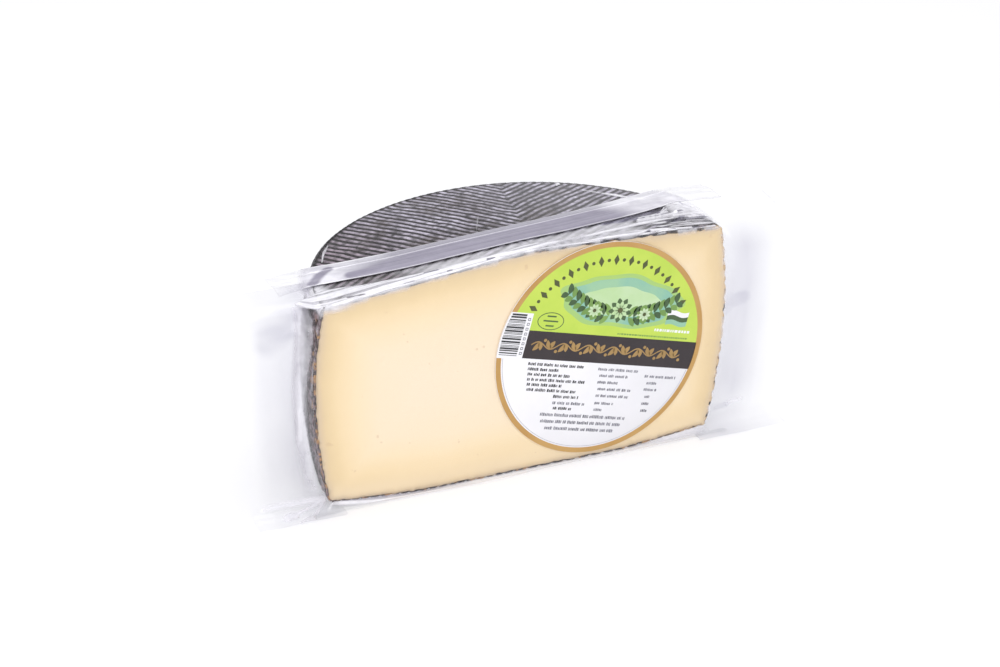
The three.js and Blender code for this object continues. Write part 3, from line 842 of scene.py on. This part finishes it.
# The folds bunched along the cut's top edge: their front line, back line, height and dark notches; the folds
# are white partly as a painted highlight, and the notches are painted shade.
EDGE_FOLDS = {
    "film_edge_fold": (
        [(-99, 11.8), (-96.5, 6.5), (-93.5, 2.4), (-88, 0.6), (-60, 0.5), (0, 0.5), (5, 1.4), (10, 2.8),
         (20, 3.8), (30, 4.9), (40, 6.8), (50, 8.6), (60, 10.3), (75, 13.2)],
        [(-99, 13.0), (-92, 15.0), (-86, 15.8), (-80, 14.0), (-75, 12.0), (-70, 10.0), (-60, 8.0), (-50, 5.9),
         (-40, 4.8), (-20, 4.3), (-10, 4.8), (0, 5.9), (20, 6.6), (30, 8.0), (40, 9.2), (50, 11.2),
         (60, 12.4), (75, 14.4)],
        1.2,
        (([(-46, 3.5), (-40.5, 2.8)], 0.8), ([(-19, 1.1), (-16, 0.8)], 0.7), ([(-80, 2.6), (-73, 1.6)], 0.5),
         ([(-56, 0.6), (-52, 0.5)], 0.6), ([(-37, 0.6), (-35, 0.5)], 0.5)),
    ),
    "film_edge_fold_low": (
        [(4, 0.45), (50, 0.7), (56, 1.4), (62, 1.6), (72, 0.9), (89, 0.7)],
        [(4, 0.8), (20, 1.8), (30, 2.6), (40, 3.4), (50, 4.0), (56, 4.0), (62, 3.8), (72, 2.6), (89, 1.8)],
        1.0,
        (([(54, 0.6), (57, 2.0)], 1.0), ([(66, 1.0), (69, 1.2)], 0.8), ([(78, 1.2), (84, 1.4)], 0.9)),
    ),
}


def make_edge_fold(name, material):
    """Film bunched on the top along the edge of the cut, between two lines."""
    low, high, tall, notches = EDGE_FOLDS[name]
    first, last = low[0][0], low[-1][0]
    X, V = net(np.linspace(first, last, int(2.4 * (last - first))), np.linspace(0, 1, 30))
    start = np.interp(X, *zip(*low)) + 0.25 * noise(X / 7, 3.0)
    end = np.maximum(np.interp(X, *zip(*high)) + 0.4 * noise(X / 9, 1.0), start + 0.3)
    wide = end - start
    Y = start + wide * V
    arch = (1 - (2 * V - 1) ** 2) ** 0.7
    furrows = 0.4 * np.abs(noise(X / 30, V * wide / 1.6 + X / 70, 3.0))
    past = np.maximum(0, np.hypot(X, np.maximum(Y, 0)) - TOP_REACH)
    inner = np.clip(X, -TOP_REACH, TOP_REACH)
    rest = top_height(inner, Y) + LEAN * (X - inner) - 0.16 * past + 0.15
    upper = rest + 0.1 + arch * (tall * np.minimum(1, wide / 4) - furrows * np.minimum(1, wide / 2))
    lines = noise(X / 22, V * wide / 0.9 + X / 55, 5.0)
    hole = along_lines(X, Y, notches)
    thin_edge = 0.55 + 0.45 * ramp(np.minimum(V, 1 - V) * wide, 0, 0.7)
    # The bunched film's white is partly a painted highlight, and its dark notches are painted shade.
    haze_and_highlight = (0.84 + 0.18 * lines - 0.5 * ramp(-lines, 0.35, 0.7)) * thin_edge * (1 - hole)
    top, under = np.stack([X, Y, upper], 2), np.stack([X, Y, rest - 0.02], 2)
    return sheet(name, top, under, material, haze_and_highlight, 0.5 * hole)


def make_lip(material):
    """The fine bead of film that follows the top edge of the cut, with a painted highlight in broken dashes.
    """
    count = 10
    X, A = net(np.linspace(-90, 89, 520), np.linspace(0, 2 * math.pi, count, endpoint=False))
    thick = 0.34 + 0.16 * noise(X / 5, 2.0) + 0.25 * hump(X, -88, 30)
    y = 0.7 + 0.5 * noise(X / 13, 6.0)
    z = top_height(X, 0) + 0.15 + 0.2 * noise(X / 9, 8.0)
    points = np.stack([X, y + 1.5 * thick * np.cos(A), z + thick * np.sin(A)], 2)
    first, last = np.arange(count)[::-1], np.arange(count) + (len(X) - 1) * count
    faces = [quads(len(X), count, around=True), np.array([first]), np.array([last])]
    haze_and_highlight = np.clip(0.55 + 0.6 * noise(X / 4.2, 1.0) + 0.35 * ramp(X, 10, -30), 0.05, 1)
    return build("film_lip", points.reshape(-1, 3), faces, material, {"haze_and_highlight": haze_and_highlight.ravel()})


# The larger wrinkles on the top: line, half width, height and haze, a white that is partly a painted
# highlight.
CREASES = {
    "film_crease_left": ([(-76.6, 42), (-73, 50), (-68.5, 57)], 0.6, 0.4, 0.8),
    "film_crease_right": ([(60, 52.8), (63.6, 48.6), (68.8, 42.8)], 0.8, 0.5, 0.9),
    "film_crease_right_thin": ([(54, 60.5), (57, 56.6), (61, 51.8)], 0.35, 0.3, 0.4),
    "film_crease_back": ([(46.5, 71.5), (49, 74)], 1.0, 0.5, 0.8),
    "film_crease_middle": ([(-9.6, 33.5), (-6, 41), (-2.3, 48.5)], 0.3, 0.15, 0.12),
}


def make_crease(name, material):
    """A raised wrinkle of film on the top, pointed at both ends."""
    places, half, tall, haze_and_highlight = CREASES[name]
    line = smooth_line(places, max(16, int(8 * len(places))))
    way = np.gradient(line, axis=0)
    way /= np.linalg.norm(way, axis=1)[:, None]
    v = np.linspace(-1, 1, 7)
    t = np.linspace(0, 1, len(line))
    narrow = np.sin(math.pi * np.clip(0.06 + 0.88 * t, 0, 1)) ** 0.6
    wide = half * narrow * (1 + 0.3 * noise(t * 9, 4.0))
    X = line[:, :1] - way[:, 1:] * v * wide[:, None]
    Y = line[:, 1:] + way[:, :1] * v * wide[:, None]
    rest = top_height(X, Y)
    upper = rest + 0.24 + tall * (1 - v ** 2) * narrow[:, None]
    top, under = np.stack([X, Y, upper], 2), np.stack([X, Y, rest - 0.05], 2)
    return sheet(name, top, under, material, haze_and_highlight * (0.75 + 0.25 * noise(X / 2.5, Y / 2.5, 3.0)))


# The crumpled corner's lines: white streaks that are painted highlights, dark fold lines that are painted
# shadows, and glints.
CORNER_STREAKS = (
    ([(58, 13.6), (68, 14.4), (78, 17)], 1.5), ([(62, 15), (75, 19)], 0.7), ([(70, 17), (76, 22)], 0.8),
    ([(76, 14.5), (92, 15)], 1.6), ([(72, 19.5), (76, 24)], 0.5), ([(80, 12), (89, 11)], 0.6),
    ([(78, 7.5), (90, 6.5)], 0.5),
)
CORNER_FOLD_SHADOWS = (
    ([(86, 28), (86.5, 25), (88, 22)], 0.8), ([(83, 29), (89, 29)], 0.5),
    ([(73, 10.5), (78, 13), (88, 12.5), (91, 11)], 0.8), ([(79, 17.5), (82, 18.5)], 0.8),
)
CORNER_GLINTS = (
    ([(60, 17.5), (70, 19.6)], 0.5), ([(57, 11.4), (72, 13.2)], 0.4), ([(84, 14), (91, 12.2)], 0.5),
)
CORNER_LEFT, CORNER_RIGHT = 38, 93
CORNER_FRONT, CORNER_BACK = 3.5, 31


def make_corner(material):
    """Film crumpled on the top at the right end of the cut."""
    X, Y = net(np.linspace(CORNER_LEFT, CORNER_RIGHT, 230), np.linspace(CORNER_FRONT, CORNER_BACK, 130))
    inside = ramp(X, CORNER_LEFT, CORNER_LEFT + 6) * ramp(X, CORNER_RIGHT, CORNER_RIGHT - 3)
    inside = inside * ramp(Y, CORNER_FRONT, CORNER_FRONT + 1.5) * ramp(Y, CORNER_BACK, CORNER_BACK - 3)
    rough = np.abs(clouds(X / 7, Y / 4, 1.0))
    lump = ramp(X, 76, 80) * ramp(Y, 15, 18)
    streaks = along_lines(X, Y, CORNER_STREAKS)
    past = np.maximum(0, np.hypot(X, Y) - TOP_REACH)
    rest = top_height(X, Y) - 0.1 * past
    upper = rest + 0.3 + inside * (1.0 * streaks + 0.8 * rough * (0.3 + lump) + 0.9 * lump)

    marks = along_lines(X, Y, CORNER_FOLD_SHADOWS)
    glints = along_lines(X, Y, CORNER_GLINTS)
    front, along = flap_place(X, 0.0), X - CORNER_LEFT
    wedge = ramp(Y, front + 0.6, front - 0.4) * ramp(Y, front - 1 - 0.22 * along, front + 0.5 - 0.2 * along)
    wedge = wedge * ramp(X, 80, 66)
    thin = ramp(Y, 14, 10) * ramp(X, 60, 66)
    flecks = ramp(noise(X / 6.5, Y / 0.9, 6.0), 0.05, 0.3)
    hatch = 0.45 * ramp(noise((X - 0.5 * Y) / 1.1, Y / 9, 12.0), 0.15, 0.5)
    hatch = hatch * hump(X, 67, 11) * hump(Y, 15.5, 5)
    # The whites are partly painted highlights; the dark fold lines, the gaps between flecks, the hatching and
    # the wedge darken the film as painted shade.
    haze_and_highlight = 0.75 * streaks * (1 - 0.6 * thin) + lump * (0.72 + 0.2 * clouds(X / 5, Y / 5, 2.0))
    haze_and_highlight = (haze_and_highlight + thin * (0.02 + 0.70 * flecks)) * (1 - 0.85 * marks) * (1 - 0.6 * hatch * (1 - lump))
    gaps = thin * (1 - flecks) * ramp(noise(X / 8, Y / 1.3, 16.0), -0.1, 0.4)
    slate_shadow = wedge * (0.6 + 0.5 * noise(X / 6, (Y - front) / 1.3, 7.0))
    shade = inside * (0.55 * marks + 0.35 * gaps + 0.30 * hatch + 0.60 * slate_shadow)
    points, faces = slab(np.stack([X, Y, upper], 2), np.stack([X, Y, rest + 0.12], 2))
    values = both_sides(inside * np.maximum(haze_and_highlight, 0.85 * glints), shade, inside * 0.14 * wedge)
    return build("film_corner_fold", points, [f[:, ::-1] for f in faces], material, values)


# The bright crease along the hem, a painted highlight: how far forward it runs and how white it is, by x.
HEM_LINE = ((-88, -60, -40, 0, 90), (-1.0, -2.3, -3.2, -3.4, -2.8))
HEM_WHITE = ((-92, -86, -40, 20, 80, 90), (0.0, 0.85, 0.8, 0.35, 0.3, 0.0))


def make_hem(material):
    """The pouch's welded bottom: flat on the table in front, then up to the lower edge of the cut."""
    X, V = net(np.linspace(-100, 100, 420), np.linspace(0, 1, 30))
    front = -4 + 1.5 * np.sin(0.06 * X) * np.cos(0.023 * X) + 0.4 * noise(X / 9, 1.0)
    Y = front + (-0.5 - front) * V
    edge = base_rise(np.minimum(np.abs(X), BASE_RADIUS - 1)) * ramp(np.abs(X), 94, 88)
    Z = 0.75 + 0.25 * noise(X / 14, V * 2, 3.0) * (1 - V) + (edge - 0.1) * ramp(V, 0.35, 1.0) ** 1.3
    line_y = np.interp(X, *HEM_LINE)
    line = 1 - ramp(np.abs(Y - line_y), 0.15, 0.55)
    behind = ramp(Y, line_y, line_y + 0.6)
    rising = ramp(edge, 0.4, 2.0) * ramp(V, 0.4, 0.8)
    ends = ramp(np.abs(X), 93, 84)
    # White on the crease is a painted highlight, and the white where the hem rises on the right is painted
    # light over the shade under the cheese's lower edge.
    haze_and_highlight = np.interp(X, *HEM_WHITE) * line + 0.10 * behind * (0.5 + 0.5 * noise(X / 9, V * 6, 5.0))
    haze_and_highlight = (haze_and_highlight + 0.45 * rising * ramp(X, -20, 30)) * (0.1 + 0.9 * ends)
    grey_veil = behind * (0.06 + 0.20 * ramp(X, -20, -50)) * ends
    top, under = np.stack([X, Y, Z + 0.12], 2), np.stack([X, Y, Z - 0.12], 2)
    return sheet("film_hem", top, under, material, haze_and_highlight, 0, grey_veil)


# The paper label, drawn in its own plane: u runs along its dark band, v up.


def label_place(shape, forward):
    """Places in the wheel's frame of label points (u, v), standing forward of the paper's front."""
    u, v = np.asarray(shape, float).T
    cos, sin = math.cos(LABEL_TURN), math.sin(LABEL_TURN)
    x = LABEL_X + u * cos - v * sin
    z = LABEL_Z + u * sin + v * cos
    return np.stack([x, np.full(len(u), LABEL_FRONT - forward), z], 1)


def arc(radius, start, end, count):
    angle = np.radians(np.linspace(start, end, count))
    return [(radius * math.cos(a), radius * math.sin(a)) for a in angle]


INKS = (
    ("gold_ring", (0.50, 0.275, 0.075), (0.56, 0.33, 0.105)),
    ("lime_field", (0.56, 0.72, 0.095), (0.50, 0.68, 0.08)),
    ("dark_band", (0.024, 0.016, 0.019), (0.031, 0.022, 0.025)),
    ("gold_ink", (0.42, 0.26, 0.09), (0.36, 0.22, 0.075)),
    ("leaf_ink", (0.045, 0.10, 0.035), (0.07, 0.13, 0.045)),
    ("fresh_wash", (0.36, 0.58, 0.20), (0.42, 0.62, 0.16)),
    ("teal_wash", (0.24, 0.50, 0.40), (0.34, 0.58, 0.36)),
    ("pale_wash", (0.60, 0.76, 0.50), (0.50, 0.70, 0.36)),
    ("olive_ink", (0.07, 0.085, 0.02), (0.09, 0.10, 0.03)),
    ("grey_ink", (0.14, 0.14, 0.17), (0.22, 0.22, 0.26)),
    ("black_ink", (0.02, 0.02, 0.025), (0.03, 0.03, 0.035)),
    ("white_ink", (0.90, 0.90, 0.93), (0.88, 0.88, 0.91)),
    ("mid_green", (0.16, 0.30, 0.07), (0.22, 0.38, 0.09)),
    ("light_grey_ink", (0.42, 0.42, 0.47), (0.50, 0.50, 0.55)),
)
LAYER = 0.012


class Print:
    """Flat printed shapes, gathered into one mesh of thin closed plates, each on its own layer of ink."""

    def __init__(self, name):
        self.name = name
        self.materials = [print_material(*ink) for ink in INKS]
        self.index = {ink: k for k, (ink, _, _) in enumerate(INKS)}
        self.points, self.faces, self.slots = [], [], []
        self.count = 0

    def draw(self, outline, ink, layer):
        outline = np.array(outline, float)
        x, y = outline.T
        if (x * np.roll(y, -1) - y * np.roll(x, -1)).sum() < 0:
            outline = outline[::-1]
        n = len(outline)
        self.points += [label_place(outline, LAYER * (layer + 1)), label_place(outline, 0.0)]
        flat = fill(outline, NO_POINTS)
        after = (np.arange(n) + 1) % n
        wall = np.stack([np.arange(n) + n, after + n, after, np.arange(n)], 1)
        wall = np.concatenate([wall[:, [0, 1, 2]], wall[:, [0, 2, 3]]])
        made = np.concatenate([flat, flat[:, ::-1] + n, wall]) + self.count
        self.faces.append(made)
        self.slots.append(np.full(len(made), self.index[ink]))
        self.count += 2 * n

    def part_ring(self, inner, outer, start, end, ink, layer, count):
        self.draw(arc(outer, start, end, count) + arc(inner, end, start, count), ink, layer)

    def make(self):
        return build(self.name, np.concatenate(self.points), [np.concatenate(self.faces)], self.materials,
                     slots=np.concatenate(self.slots), smooth=False)


def segment(radius, v_low, v_high, count=60):
    """The part of a disc between two levels of v."""
    low, high = (math.degrees(math.asin(v / radius)) for v in (v_low, v_high))
    return arc(radius, low, high, count) + arc(radius, 180 - high, 180 - low, count)


def placed(shape, u, v, angle):
    cos, sin = math.cos(angle), math.sin(angle)
    return [(u + a * cos - b * sin, v + a * sin + b * cos) for a, b in shape]


def leaf(u, v, angle, long, wide, bend=0.0):
    t = np.linspace(0, 1, 12)
    middle = bend * long * np.sin(math.pi * t)
    half = wide / 2 * np.sin(math.pi * t) ** 0.8
    upper, lower = list(zip(t * long, middle + half)), list(zip(t * long, middle - half))
    return placed(upper[:-1] + lower[:0:-1], u, v, angle)


def lozenge(u, v, wide, tall, angle):
    return placed(((wide / 2, 0), (0, tall / 2), (-wide / 2, 0), (0, -tall / 2)), u, v, angle)


def oval(u, v, wide, tall, count):
    """An oval outline. wide and tall are its half axes."""
    a = np.linspace(0, 2 * math.pi, count, endpoint=False)
    return np.stack([u + wide * np.cos(a), v + tall * np.sin(a)], 1)


def bar(u0, u1, v0, v1):
    return [(u0, v0), (u1, v0), (u1, v1), (u0, v1)]


def make_paper():
    count = 240
    theta = np.linspace(0, 2 * math.pi, count, endpoint=False)
    thick, ease, less = LABEL_BACK - LABEL_FRONT, 0.05, LABEL_RADIUS - 0.06
    rings = ((less, 0.0), (LABEL_RADIUS, ease), (LABEL_RADIUS, thick - ease), (less, thick))
    points = np.concatenate([
        np.stack([LABEL_X + r * np.cos(theta), LABEL_FRONT + y + 0 * theta, LABEL_Z + r * np.sin(theta)], 1)
        for r, y in rings
    ])
    flat = fill(points[:count, [0, 2]], NO_POINTS)
    faces = [quads(len(rings), count, around=True)[:, ::-1], flat, flat[:, ::-1] + (len(rings) - 1) * count]
    paper = print_material("white_label_paper", (0.90, 0.895, 0.93), (0.87, 0.865, 0.90))
    disc = build("label_paper", points, faces, paper)
    disc.data.set_sharp_from_angle(angle=math.radians(40))
    return disc


FIELD_RADIUS = 47.8
BAND_LOW, BAND_HIGH = -6.7, 6.27
CODE_RIGHT = -37.4


def draw_fields(inks):
    """The brown ring, the lime upper part, the dark band, and a fine line round the white part."""
    for start in (0, 180):
        inks.part_ring(FIELD_RADIUS - 0.2, LABEL_RADIUS - 0.04, start, start + 180, "gold_ring", 1, 100)
    inks.draw(segment(FIELD_RADIUS, BAND_HIGH, FIELD_RADIUS - 0.1), "lime_field", 0)
    band = segment(FIELD_RADIUS, BAND_LOW, BAND_HIGH, 24)
    inks.draw([(max(u, CODE_RIGHT), v) for u, v in band], "dark_band", 1)
    inks.part_ring(46.76, 47.0, 189, 351, "light_grey_ink", 0, 120)


GARLAND_U, GARLAND_V = 4, 15.2
BLOSSOMS = ((4.0, 18.6, 5.4, "leaf_ink"), (-8.6, 17.6, 3.7, "mid_green"), (16.6, 17.6, 3.7, "mid_green"))
PETALS = 9


def draw_garland(inks):
    """A leafy garland with three round blossoms, on a soft patch of cooler green."""
    t = np.linspace(0, 2 * math.pi, 80, endpoint=False)
    wavy = 1 + 0.045 * np.sin(5 * t) + 0.03 * np.sin(9 * t + 1)
    washes = ((30.5, 12.4, "fresh_wash"), (27.0, 10.6, "teal_wash"), (19.0, 6.8, "pale_wash"))
    for layer, (wide, tall, ink) in enumerate(washes, 1):
        patch = np.stack([GARLAND_U + wide * np.cos(t) * wavy, 22.6 + tall * np.sin(t) * wavy], 1)
        inks.draw(patch, ink, layer)
    for side in (1, -1):
        for k in range(10):
            along = 5.0 + 2.45 * k
            u, v = GARLAND_U + side * along, GARLAND_V + 0.012 * along ** 2
            for turn, long in ((0.95, 6.6), (-0.95, 5.4)):
                way = math.atan(0.024 * along) + turn
                angle = way if side > 0 else math.pi - way
                shape = leaf(u, v, angle, long - 0.16 * k, 2.7, 0.08 * side)
                inks.draw(shape, "leaf_ink" if k % 2 else "mid_green", 4)
    for u, v, radius, ink in BLOSSOMS:
        petals = ((0.0, radius, radius * 0.52, ink, 5), (0.5, radius * 0.72, radius * 0.36, "pale_wash", 6))
        for turn, long, wide, petal_ink, layer in petals:
            for k in range(PETALS):
                angle = 2 * math.pi * (k + turn) / PETALS + radius
                root_u, root_v = u + 0.5 * math.cos(angle), v + 0.5 * math.sin(angle)
                inks.draw(leaf(root_u, root_v, angle, long, wide), petal_ink, layer)
        inks.draw(oval(u, v, 0.24 * radius, 0.24 * radius, 20), "olive_ink", 7)


def draw_arc(inks):
    """Lozenges and dots by turns, on an arc over the garland."""
    marks, first, sweep, radius = 25, 157, 121, 41.6
    for k in range(marks):
        a = math.radians(first - sweep * k / (marks - 1))
        u, v = radius * math.cos(a), radius * math.sin(a)
        shape = oval(u, v, 0.8, 0.8, 16) if k % 2 else lozenge(u, v, 2.6, 5.0, a - math.pi / 2)
        inks.draw(shape, "olive_ink", 2)


VINE_LEFT, VINE_V, VINE_WAVE = -34.5, -0.2, 12.5


def draw_vine(inks):
    """A leafy vine with berries, on the dark band."""
    us = np.linspace(VINE_LEFT, 40.5, 150)
    line = VINE_V + 1.5 * np.sin((us - VINE_LEFT) * 2 * math.pi / VINE_WAVE)
    inks.draw(list(zip(us, line + 0.32)) + list(zip(us, line - 0.32))[::-1], "gold_ink", 3)
    for k in range(12):
        u = -31.4 + VINE_WAVE / 2 * k
        way = 1 if k % 2 == 0 else -1
        for turn, long in ((0.55, 4.6), (-0.35, 3.9)):
            angle = -way * (math.pi / 2 + turn)
            inks.draw(leaf(u + 0.4, VINE_V + way * 1.3, angle, long, 2.0, 0.1), "gold_ink", 4)
        inks.draw(oval(u + 3.1, VINE_V + way * 2.4, 0.75, 0.75, 16), "gold_ink", 4)


FRAME_U, FRAME_V = -28.3, 11.1
PATCH_LEFT, PATCH_RIGHT, PATCH_TOP, STRIPE = 28.4, 39.2, 20.1, 2.2


def draw_small_marks(inks, chance):
    """An oval frame with three bars, a waving striped patch, and two rows of short bars."""
    inks.draw(oval(FRAME_U, FRAME_V, 6.4, 4.1, 80), "leaf_ink", 2)
    inks.draw(oval(FRAME_U, FRAME_V, 6.4 * 0.94, 4.1 * 0.91, 80), "lime_field", 3)
    for k, wide in enumerate((4.4, 7.2, 4.0)):
        v = FRAME_V + 1.9 - 2.2 * k
        inks.draw(bar(FRAME_U - wide / 2, FRAME_U + wide / 2, v, v + 0.7), "leaf_ink", 4)
    xs = np.linspace(PATCH_LEFT, PATCH_RIGHT, 16)
    wave = 0.55 * np.sin((xs - PATCH_LEFT) / (PATCH_RIGHT - PATCH_LEFT) * 2 * math.pi)
    for k, ink in enumerate(("white_ink", "leaf_ink", "teal_wash")):
        top = PATCH_TOP - STRIPE * k + wave
        inks.draw(list(zip(xs, top)) + list(zip(xs, top - STRIPE))[::-1], ink, 3)
    rows = ((24.0, 10.2, 11.4, 0.5, 1.1, 0.45, "white_ink"), (6.0, 7.3, 8.0, 0.4, 0.9, 0.35, "mid_green"))
    for u, low_v, high_v, least, more, gap, ink in rows:
        while u < 41:
            wide = least + more * chance.random()
            inks.draw(bar(u, u + wide, low_v, high_v), ink, 2)
            u += wide + gap


CODE_RADIUS = 49.9
CODE_LOW, CODE_HIGH = -7.3, 14.0
MODULE = 0.28


def draw_code(inks, chance):
    """A bar code of plain bars at the label's left edge, with a column of small frames beside it."""
    low_angle, high_angle = (180 - math.degrees(math.asin(v / CODE_RADIUS)) for v in (CODE_LOW, CODE_HIGH))
    corners = [(CODE_RIGHT + 0.1, CODE_LOW), (CODE_RIGHT + 0.1, CODE_HIGH)]
    inks.draw(arc(CODE_RADIUS, high_angle, low_angle, 24) + corners, "white_ink", 2)
    v = -5.9
    while v < 12.6:
        tall = MODULE * (1, 1, 2, 3)[chance.integers(4)]
        left = -math.sqrt(49.2 ** 2 - max(abs(v), abs(v + tall)) ** 2)
        inks.draw(bar(left, -40.2, v, v + tall), "black_ink", 3)
        v += tall + MODULE * (1, 1, 2)[chance.integers(3)]
    for k in range(8):
        v = -5.2 + 2.25 * k
        inks.draw(bar(-39.3, -38.0, v, v + 1.3), "grey_ink", 3)
        inks.draw(bar(-39.0, -38.3, v + 0.35, v + 0.95), "white_ink", 4)


# Rows on the white part: height, ink, how much a group may be over the least, and each row's v and two ends.
ROWS = (
    (1.35, "black_ink", 4.2, (
        (-9.6, -33.5, -6.0), (-12.0, -33.0, -17.5), (-14.4, -32.5, -11.5), (-16.8, -32.0, -3.5),
        (-19.2, -31.5, -13.5), (-21.6, -31.0, -6.5), (-24.2, -17.0, -4.5),
    )),
    (1.35, "grey_ink", 4.2, ((-27.2, -16.5, -0.5),)),
    (1.35, "black_ink", 4.2, ((-29.7, -15.5, -5.5),)),
    (1.25, "grey_ink", 4.2, (
        (-10.0, 1.5, 22.0), (-13.0, 3.0, 17.5), (-16.2, 3.0, 14.0), (-19.4, 4.0, 21.0), (-22.6, 4.0, 21.5),
        (-26.2, 4.5, 14.0), (-29.4, 5.0, 9.0), (-12.0, 26.0, 42.0), (-15.2, 28.0, 33.0), (-18.4, 27.5, 34.0),
        (-21.8, 29.0, 32.0), (-25.2, 28.5, 33.0), (-28.6, 29.0, 33.5),
    )),
    (1.5, "grey_ink", 6.0, ((-33.0, -21.0, 22.0), (-36.2, -20.0, 20.5), (-39.4, -17.0, 18.0))),
)
GROUP_LEAST, GROUP_THINNEST, GROUP_GAP, STROKE_GAP = 1.2, 0.4, 0.75, 0.2


def draw_group(inks, chance, u, end, v, tall, ink):
    """Short upright bars side by side."""
    while u < end:
        stroke = min(0.34 + 0.5 * chance.random(), end - u)
        lowest = v - 0.15 * chance.random()
        highest = v + tall * (0.72 + 0.28 * chance.random())
        inks.draw(bar(u, u + stroke, lowest, highest), ink, 0)
        u += stroke + STROKE_GAP


def draw_rows(inks, chance):
    for tall, ink, longer, rows in ROWS:
        for v, u, end in rows:
            while u < end:
                wide = min(GROUP_LEAST + longer * chance.random(), end - u)
                if wide > GROUP_THINNEST:
                    draw_group(inks, chance, u, u + wide, v, tall, ink)
                u += wide + GROUP_GAP


def make_print():
    inks = Print("label_print")
    chance = np.random.default_rng(11)
    draw_fields(inks)
    draw_garland(inks)
    draw_arc(inks)
    draw_vine(inks)
    draw_small_marks(inks, chance)
    draw_code(inks, chance)
    draw_rows(inks, chance)
    return inks.make()


# The light, the table and the camera.


def area_light(name, place, aim, size, power):
    light = bpy.data.lights.new(name, "AREA")
    light.shape = "RECTANGLE"
    light.size, light.size_y = size
    light.energy = power
    lamp = bpy.data.objects.new(name, light)
    bpy.context.scene.collection.objects.link(lamp)
    lamp.location = place
    lamp.rotation_mode = "QUATERNION"
    lamp.rotation_quaternion = (Vector(aim) - Vector(place)).to_track_quat("-Z", "Y")


TABLE_HALF = 4.0
TABLE_DROP = 0.0001

# The camera fitted to the photo: its place in the wheel's own frame, its right and up, and its lens.
CAMERA_PLACE = (-340.495, -703.381, 447.477)
CAMERA_RIGHT = Vector((0.91059, -0.41280, 0.02062))
CAMERA_UP = Vector((0.16429, 0.40730, 0.89840))
CAMERA_LENS = 73.99


def make_studio():
    scene = bpy.context.scene
    scene.view_settings.view_transform = "Standard"
    scene.world = bpy.data.worlds.new("studio")
    scene.world.use_nodes = True
    sky = scene.world.node_tree.nodes["Background"].inputs
    sky["Color"].default_value = (0.965, 0.965, 1.0, 1)
    sky["Strength"].default_value = 0.60
    area_light("key", (-0.9, -1.5, 1.5), (0, 0, 0.05), (1.4, 1.4), 23.7)
    area_light("overhead", (0.2, 0.3, 1.9), (0, 0, 0.0), (1.6, 1.2), 13.0)

    mesh = bpy.data.meshes.new("table")
    corners = [(x * TABLE_HALF, y * TABLE_HALF, 0) for x, y in ((-1, -1), (1, -1), (1, 1), (-1, 1))]
    mesh.from_pydata(corners, [], [(0, 1, 2, 3)])
    mesh.materials.append(floor_material())
    table = bpy.data.objects.new("table", mesh)
    table.location.z = -TABLE_DROP
    scene.collection.objects.link(table)

    camera = bpy.data.objects.new("camera", bpy.data.cameras.new("camera"))
    camera.data.lens = CAMERA_LENS
    camera.data.sensor_width = 36.0
    camera.data.clip_start, camera.data.clip_end = 0.05, 20
    turn = Matrix((CAMERA_RIGHT, CAMERA_UP, CAMERA_RIGHT.cross(CAMERA_UP))).transposed().to_4x4()
    camera.matrix_world = Matrix.Translation(Vector(metres([CAMERA_PLACE])[0])) @ turn
    scene.collection.objects.link(camera)
    scene.camera = camera


make_studio()
rind, paste = make_cheese()
tight = film_material("tight_film", 0.12, 0.32)
loose = film_material("loose_film", 0.17, 0.45)
films = [make_skin(tight), make_flap(loose)]
films += [make_wing(name, loose) for name in WINGS]
films += [make_edge_fold(name, loose) for name in EDGE_FOLDS]
films += [make_lip(loose), make_corner(loose), make_hem(loose)]
films += [make_crease(name, loose) for name in CREASES]

cheese = [(rind, "cheese_rind"), (paste, "cheese_paste")]
replaced = {
    "vacuum_pack": cheese + [(film, "clear_film") for film in films],
    "round_label": [(make_paper(), "label_paper"), (make_print(), "label_paper")],
}
for node, pieces in replaced.items():
    for piece, slot in pieces:
        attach(piece, "root")
        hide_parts(node)

bpy.context.view_layer.update()
